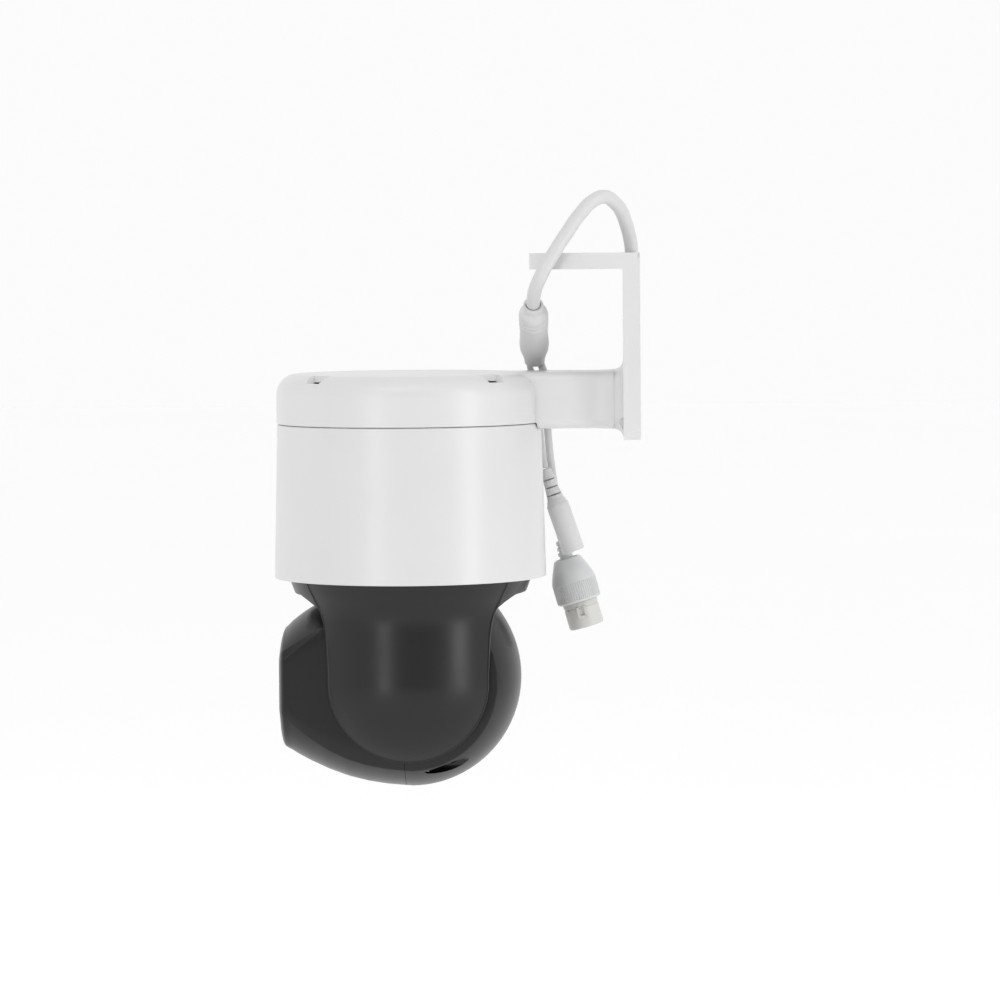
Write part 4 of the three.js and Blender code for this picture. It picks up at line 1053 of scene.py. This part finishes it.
def front_stations():
    rest = [FACE_EDGE_Y + (SPLIT_Y - 0.08 - FACE_EDGE_Y) * i / 46 for i in range(1, 47)]
    return DOME + [(y, 1.0) for y in rest]


def rear_stations():
    start = SPLIT_Y + 0.08
    first, last = math.asin(start / BALL_RADIUS), math.radians(89)
    return [(BALL_RADIUS * math.sin(first + (last - first) * i / 30), 1.0) for i in range(31)]


def head_loft(name, stations, shrink=0.0):
    return rings_to_mesh(name, [head_ring(y, scale, shrink) for y, scale in stations], angle=24)


def window_outline(half_width, half_height, radius):
    return [(x, TILT_Z + LENS_Z + z) for x, z in rounded_outline(half_width, half_height, radius, 8)]


def head_hollow():
    """The room inside the head, open across the seam of its two shells."""
    front = [(y + WALL, scale) for y, scale in DOME]
    middle = [(y, 1.0) for y in range(-51, 40, 3)]
    return head_loft("hollow", front + middle, WALL)


def screw_spot(side, y):
    return TILT_CENTRE + Vector((side * HEAD_SCREW[0], y, HEAD_SCREW[1]))


def make_head_shells():
    front = head_loft("front_shell", front_stations())
    rear = head_loft("rear_shell", rear_stations())
    opening = prism("opening", window_outline(22, 16, 6), PAN_Y - 70, PAN_Y - 45, "y")
    reach = Vector((40, 0, 0))
    trunnion_ways = [rod("trunnion_way", TILT_CENTRE - reach, TILT_CENTRE + reach, TRUNNION_RADIUS, 48)
                     for _ in range(2)]
    pillars = []
    for side in (-1, 1):
        pillar = rod("pillar", screw_spot(side, -1.9), screw_spot(side, 18), HEAD_PILLAR_RADIUS, 32)
        pillars.append(boolean(pillar, "INTERSECT", head_loft("skin", rear_stations(), 0.05)))
    recesses = [rod("screw_recess", screw_spot(side, 6), screw_spot(side, 30), HEAD_RECESS_RADIUS, 48)
                for side in (-1, 1)]
    boolean(front, "DIFFERENCE", head_hollow(), opening, trunnion_ways[0], angle=24)
    boolean(rear, "DIFFERENCE", head_hollow(), trunnion_ways[1], angle=24)
    boolean(rear, "UNION", *pillars, angle=24)
    boolean(rear, "DIFFERENCE", *recesses, angle=24)
    place(front, "head", BLACK, "black_plastic", "head_front_shell")
    place(rear, "head", BLACK, "black_plastic", "head_rear_shell")


def domed(shape):
    """A piece of the window: a shape cut off by the domed face, just under the shell's skin."""
    dome = head_loft("dome", [(y + PANE_INSET, scale) for y, scale in front_stations()])
    return boolean(shape, "INTERSECT", dome, angle=20)


def window_rod(name, x, radius, sides=64):
    z = TILT_Z + LENS_Z
    return rod(name, (x, PAN_Y + PANE_FRONT, z), (x, PAN_Y + PANE_BACK, z), radius, sides)


def make_window():
    """A black pane with clear openings for the lens and the two lamps."""
    outline = window_outline(21.7, 15.7, 5.7)
    pane = domed(prism("window_pane", outline, PAN_Y + PANE_FRONT, PAN_Y + PANE_BACK, "y"))
    openings = [window_rod("lens_way", 0, LENS_OPENING, 96)]
    openings += [window_rod("lamp_way", side * LAMP_X, LAMP_OPENING) for side in (-1, 1)]
    boolean(pane, "DIFFERENCE", *openings, angle=20)
    place(pane, "head", BLACK_GLOSS, "tinted_window", "front_window")
    clear = [("lens_pane", 0, LENS_OPENING), ("lamp_pane_left", -LAMP_X, LAMP_OPENING),
             ("lamp_pane_right", LAMP_X, LAMP_OPENING)]
    for name, x, radius in clear:
        place(domed(window_rod(name, x, radius - 0.05, 96)), "head", CLEAR, "optical_glass")


# ---- floor and light ----------------------------------------------------
def area_light(name, spot, target, size, power):
    data = bpy.data.lights.new(name, "AREA")
    data.shape = "RECTANGLE"
    data.size, data.size_y = size
    data.energy = power
    light = link(bpy.data.objects.new(name, data))
    light.location = spot
    light.rotation_mode = "QUATERNION"
    light.rotation_quaternion = (Vector(target) - Vector(spot)).to_track_quat("-Z", "Y")


def make_sky():
    """A white studio sky with a dark patch towards +X, the side that the main camera looks from."""
    world = bpy.data.worlds.new("studio")
    world.use_nodes = True
    nodes, links = world.node_tree.nodes, world.node_tree.links
    background = nodes["Background"]
    background.inputs["Color"].default_value = (1, 1, 1, 1)
    coordinates = nodes.new("ShaderNodeTexCoord")
    split = nodes.new("ShaderNodeSeparateXYZ")
    patch = nodes.new("ShaderNodeMapRange")
    patch.interpolation_type = "SMOOTHSTEP"
    patch.inputs["From Min"].default_value = 0.5
    patch.inputs["From Max"].default_value = 0.95
    patch.inputs["To Min"].default_value = SKY_WHITE
    patch.inputs["To Max"].default_value = SKY_DARK_PATCH
    links.new(coordinates.outputs["Generated"], split.inputs["Vector"])
    links.new(split.outputs["X"], patch.inputs["Value"])
    links.new(patch.outputs["Result"], background.inputs["Strength"])
    bpy.context.scene.world = world
    bpy.context.scene.view_settings.view_transform = "Standard"


def make_stage():
    floor = block("floor", (-FLOOR_HALF, -FLOOR_HALF, FLOOR_Z - 20), (FLOOR_HALF, FLOOR_HALF, FLOOR_Z))
    material, nodes, links, shader = new_material("floor")
    tint = add_noise(nodes, links, 1.5)
    add_ramp(nodes, links, tint, shader.inputs["Base Color"], (0.975, 0.975, 0.975), (0.985, 0.985, 0.985))
    shader.inputs["Roughness"].default_value = 0.9
    shader.inputs["Emission Color"].default_value = (1, 1, 1, 1)
    shader.inputs["Emission Strength"].default_value = FLOOR_GLOW
    floor.data.materials.append(material)
    make_sky()
    target = (0, -0.08, -0.05)
    area_light("left_panel", (1.05, -0.6, 0.05), target, (0.2, 1.1), 2.3)
    area_light("right_panel", (0.68, 0.85, 0.05), target, (0.28, 1.1), 3.6)
    area_light("high_panel", (0.8, -0.25, 0.85), target, (0.7, 0.3), 1.6)


make_camera()
make_cords()
make_bracket()
make_top_cover()
make_housing()
make_yoke_frame()
make_side_cover(1, "fork_cover_right", "yoke_cover_right")
make_side_cover(-1, "fork_cover_left", "yoke_cover_left")
make_head_shells()
make_window()
finish_nodes()
make_stage()
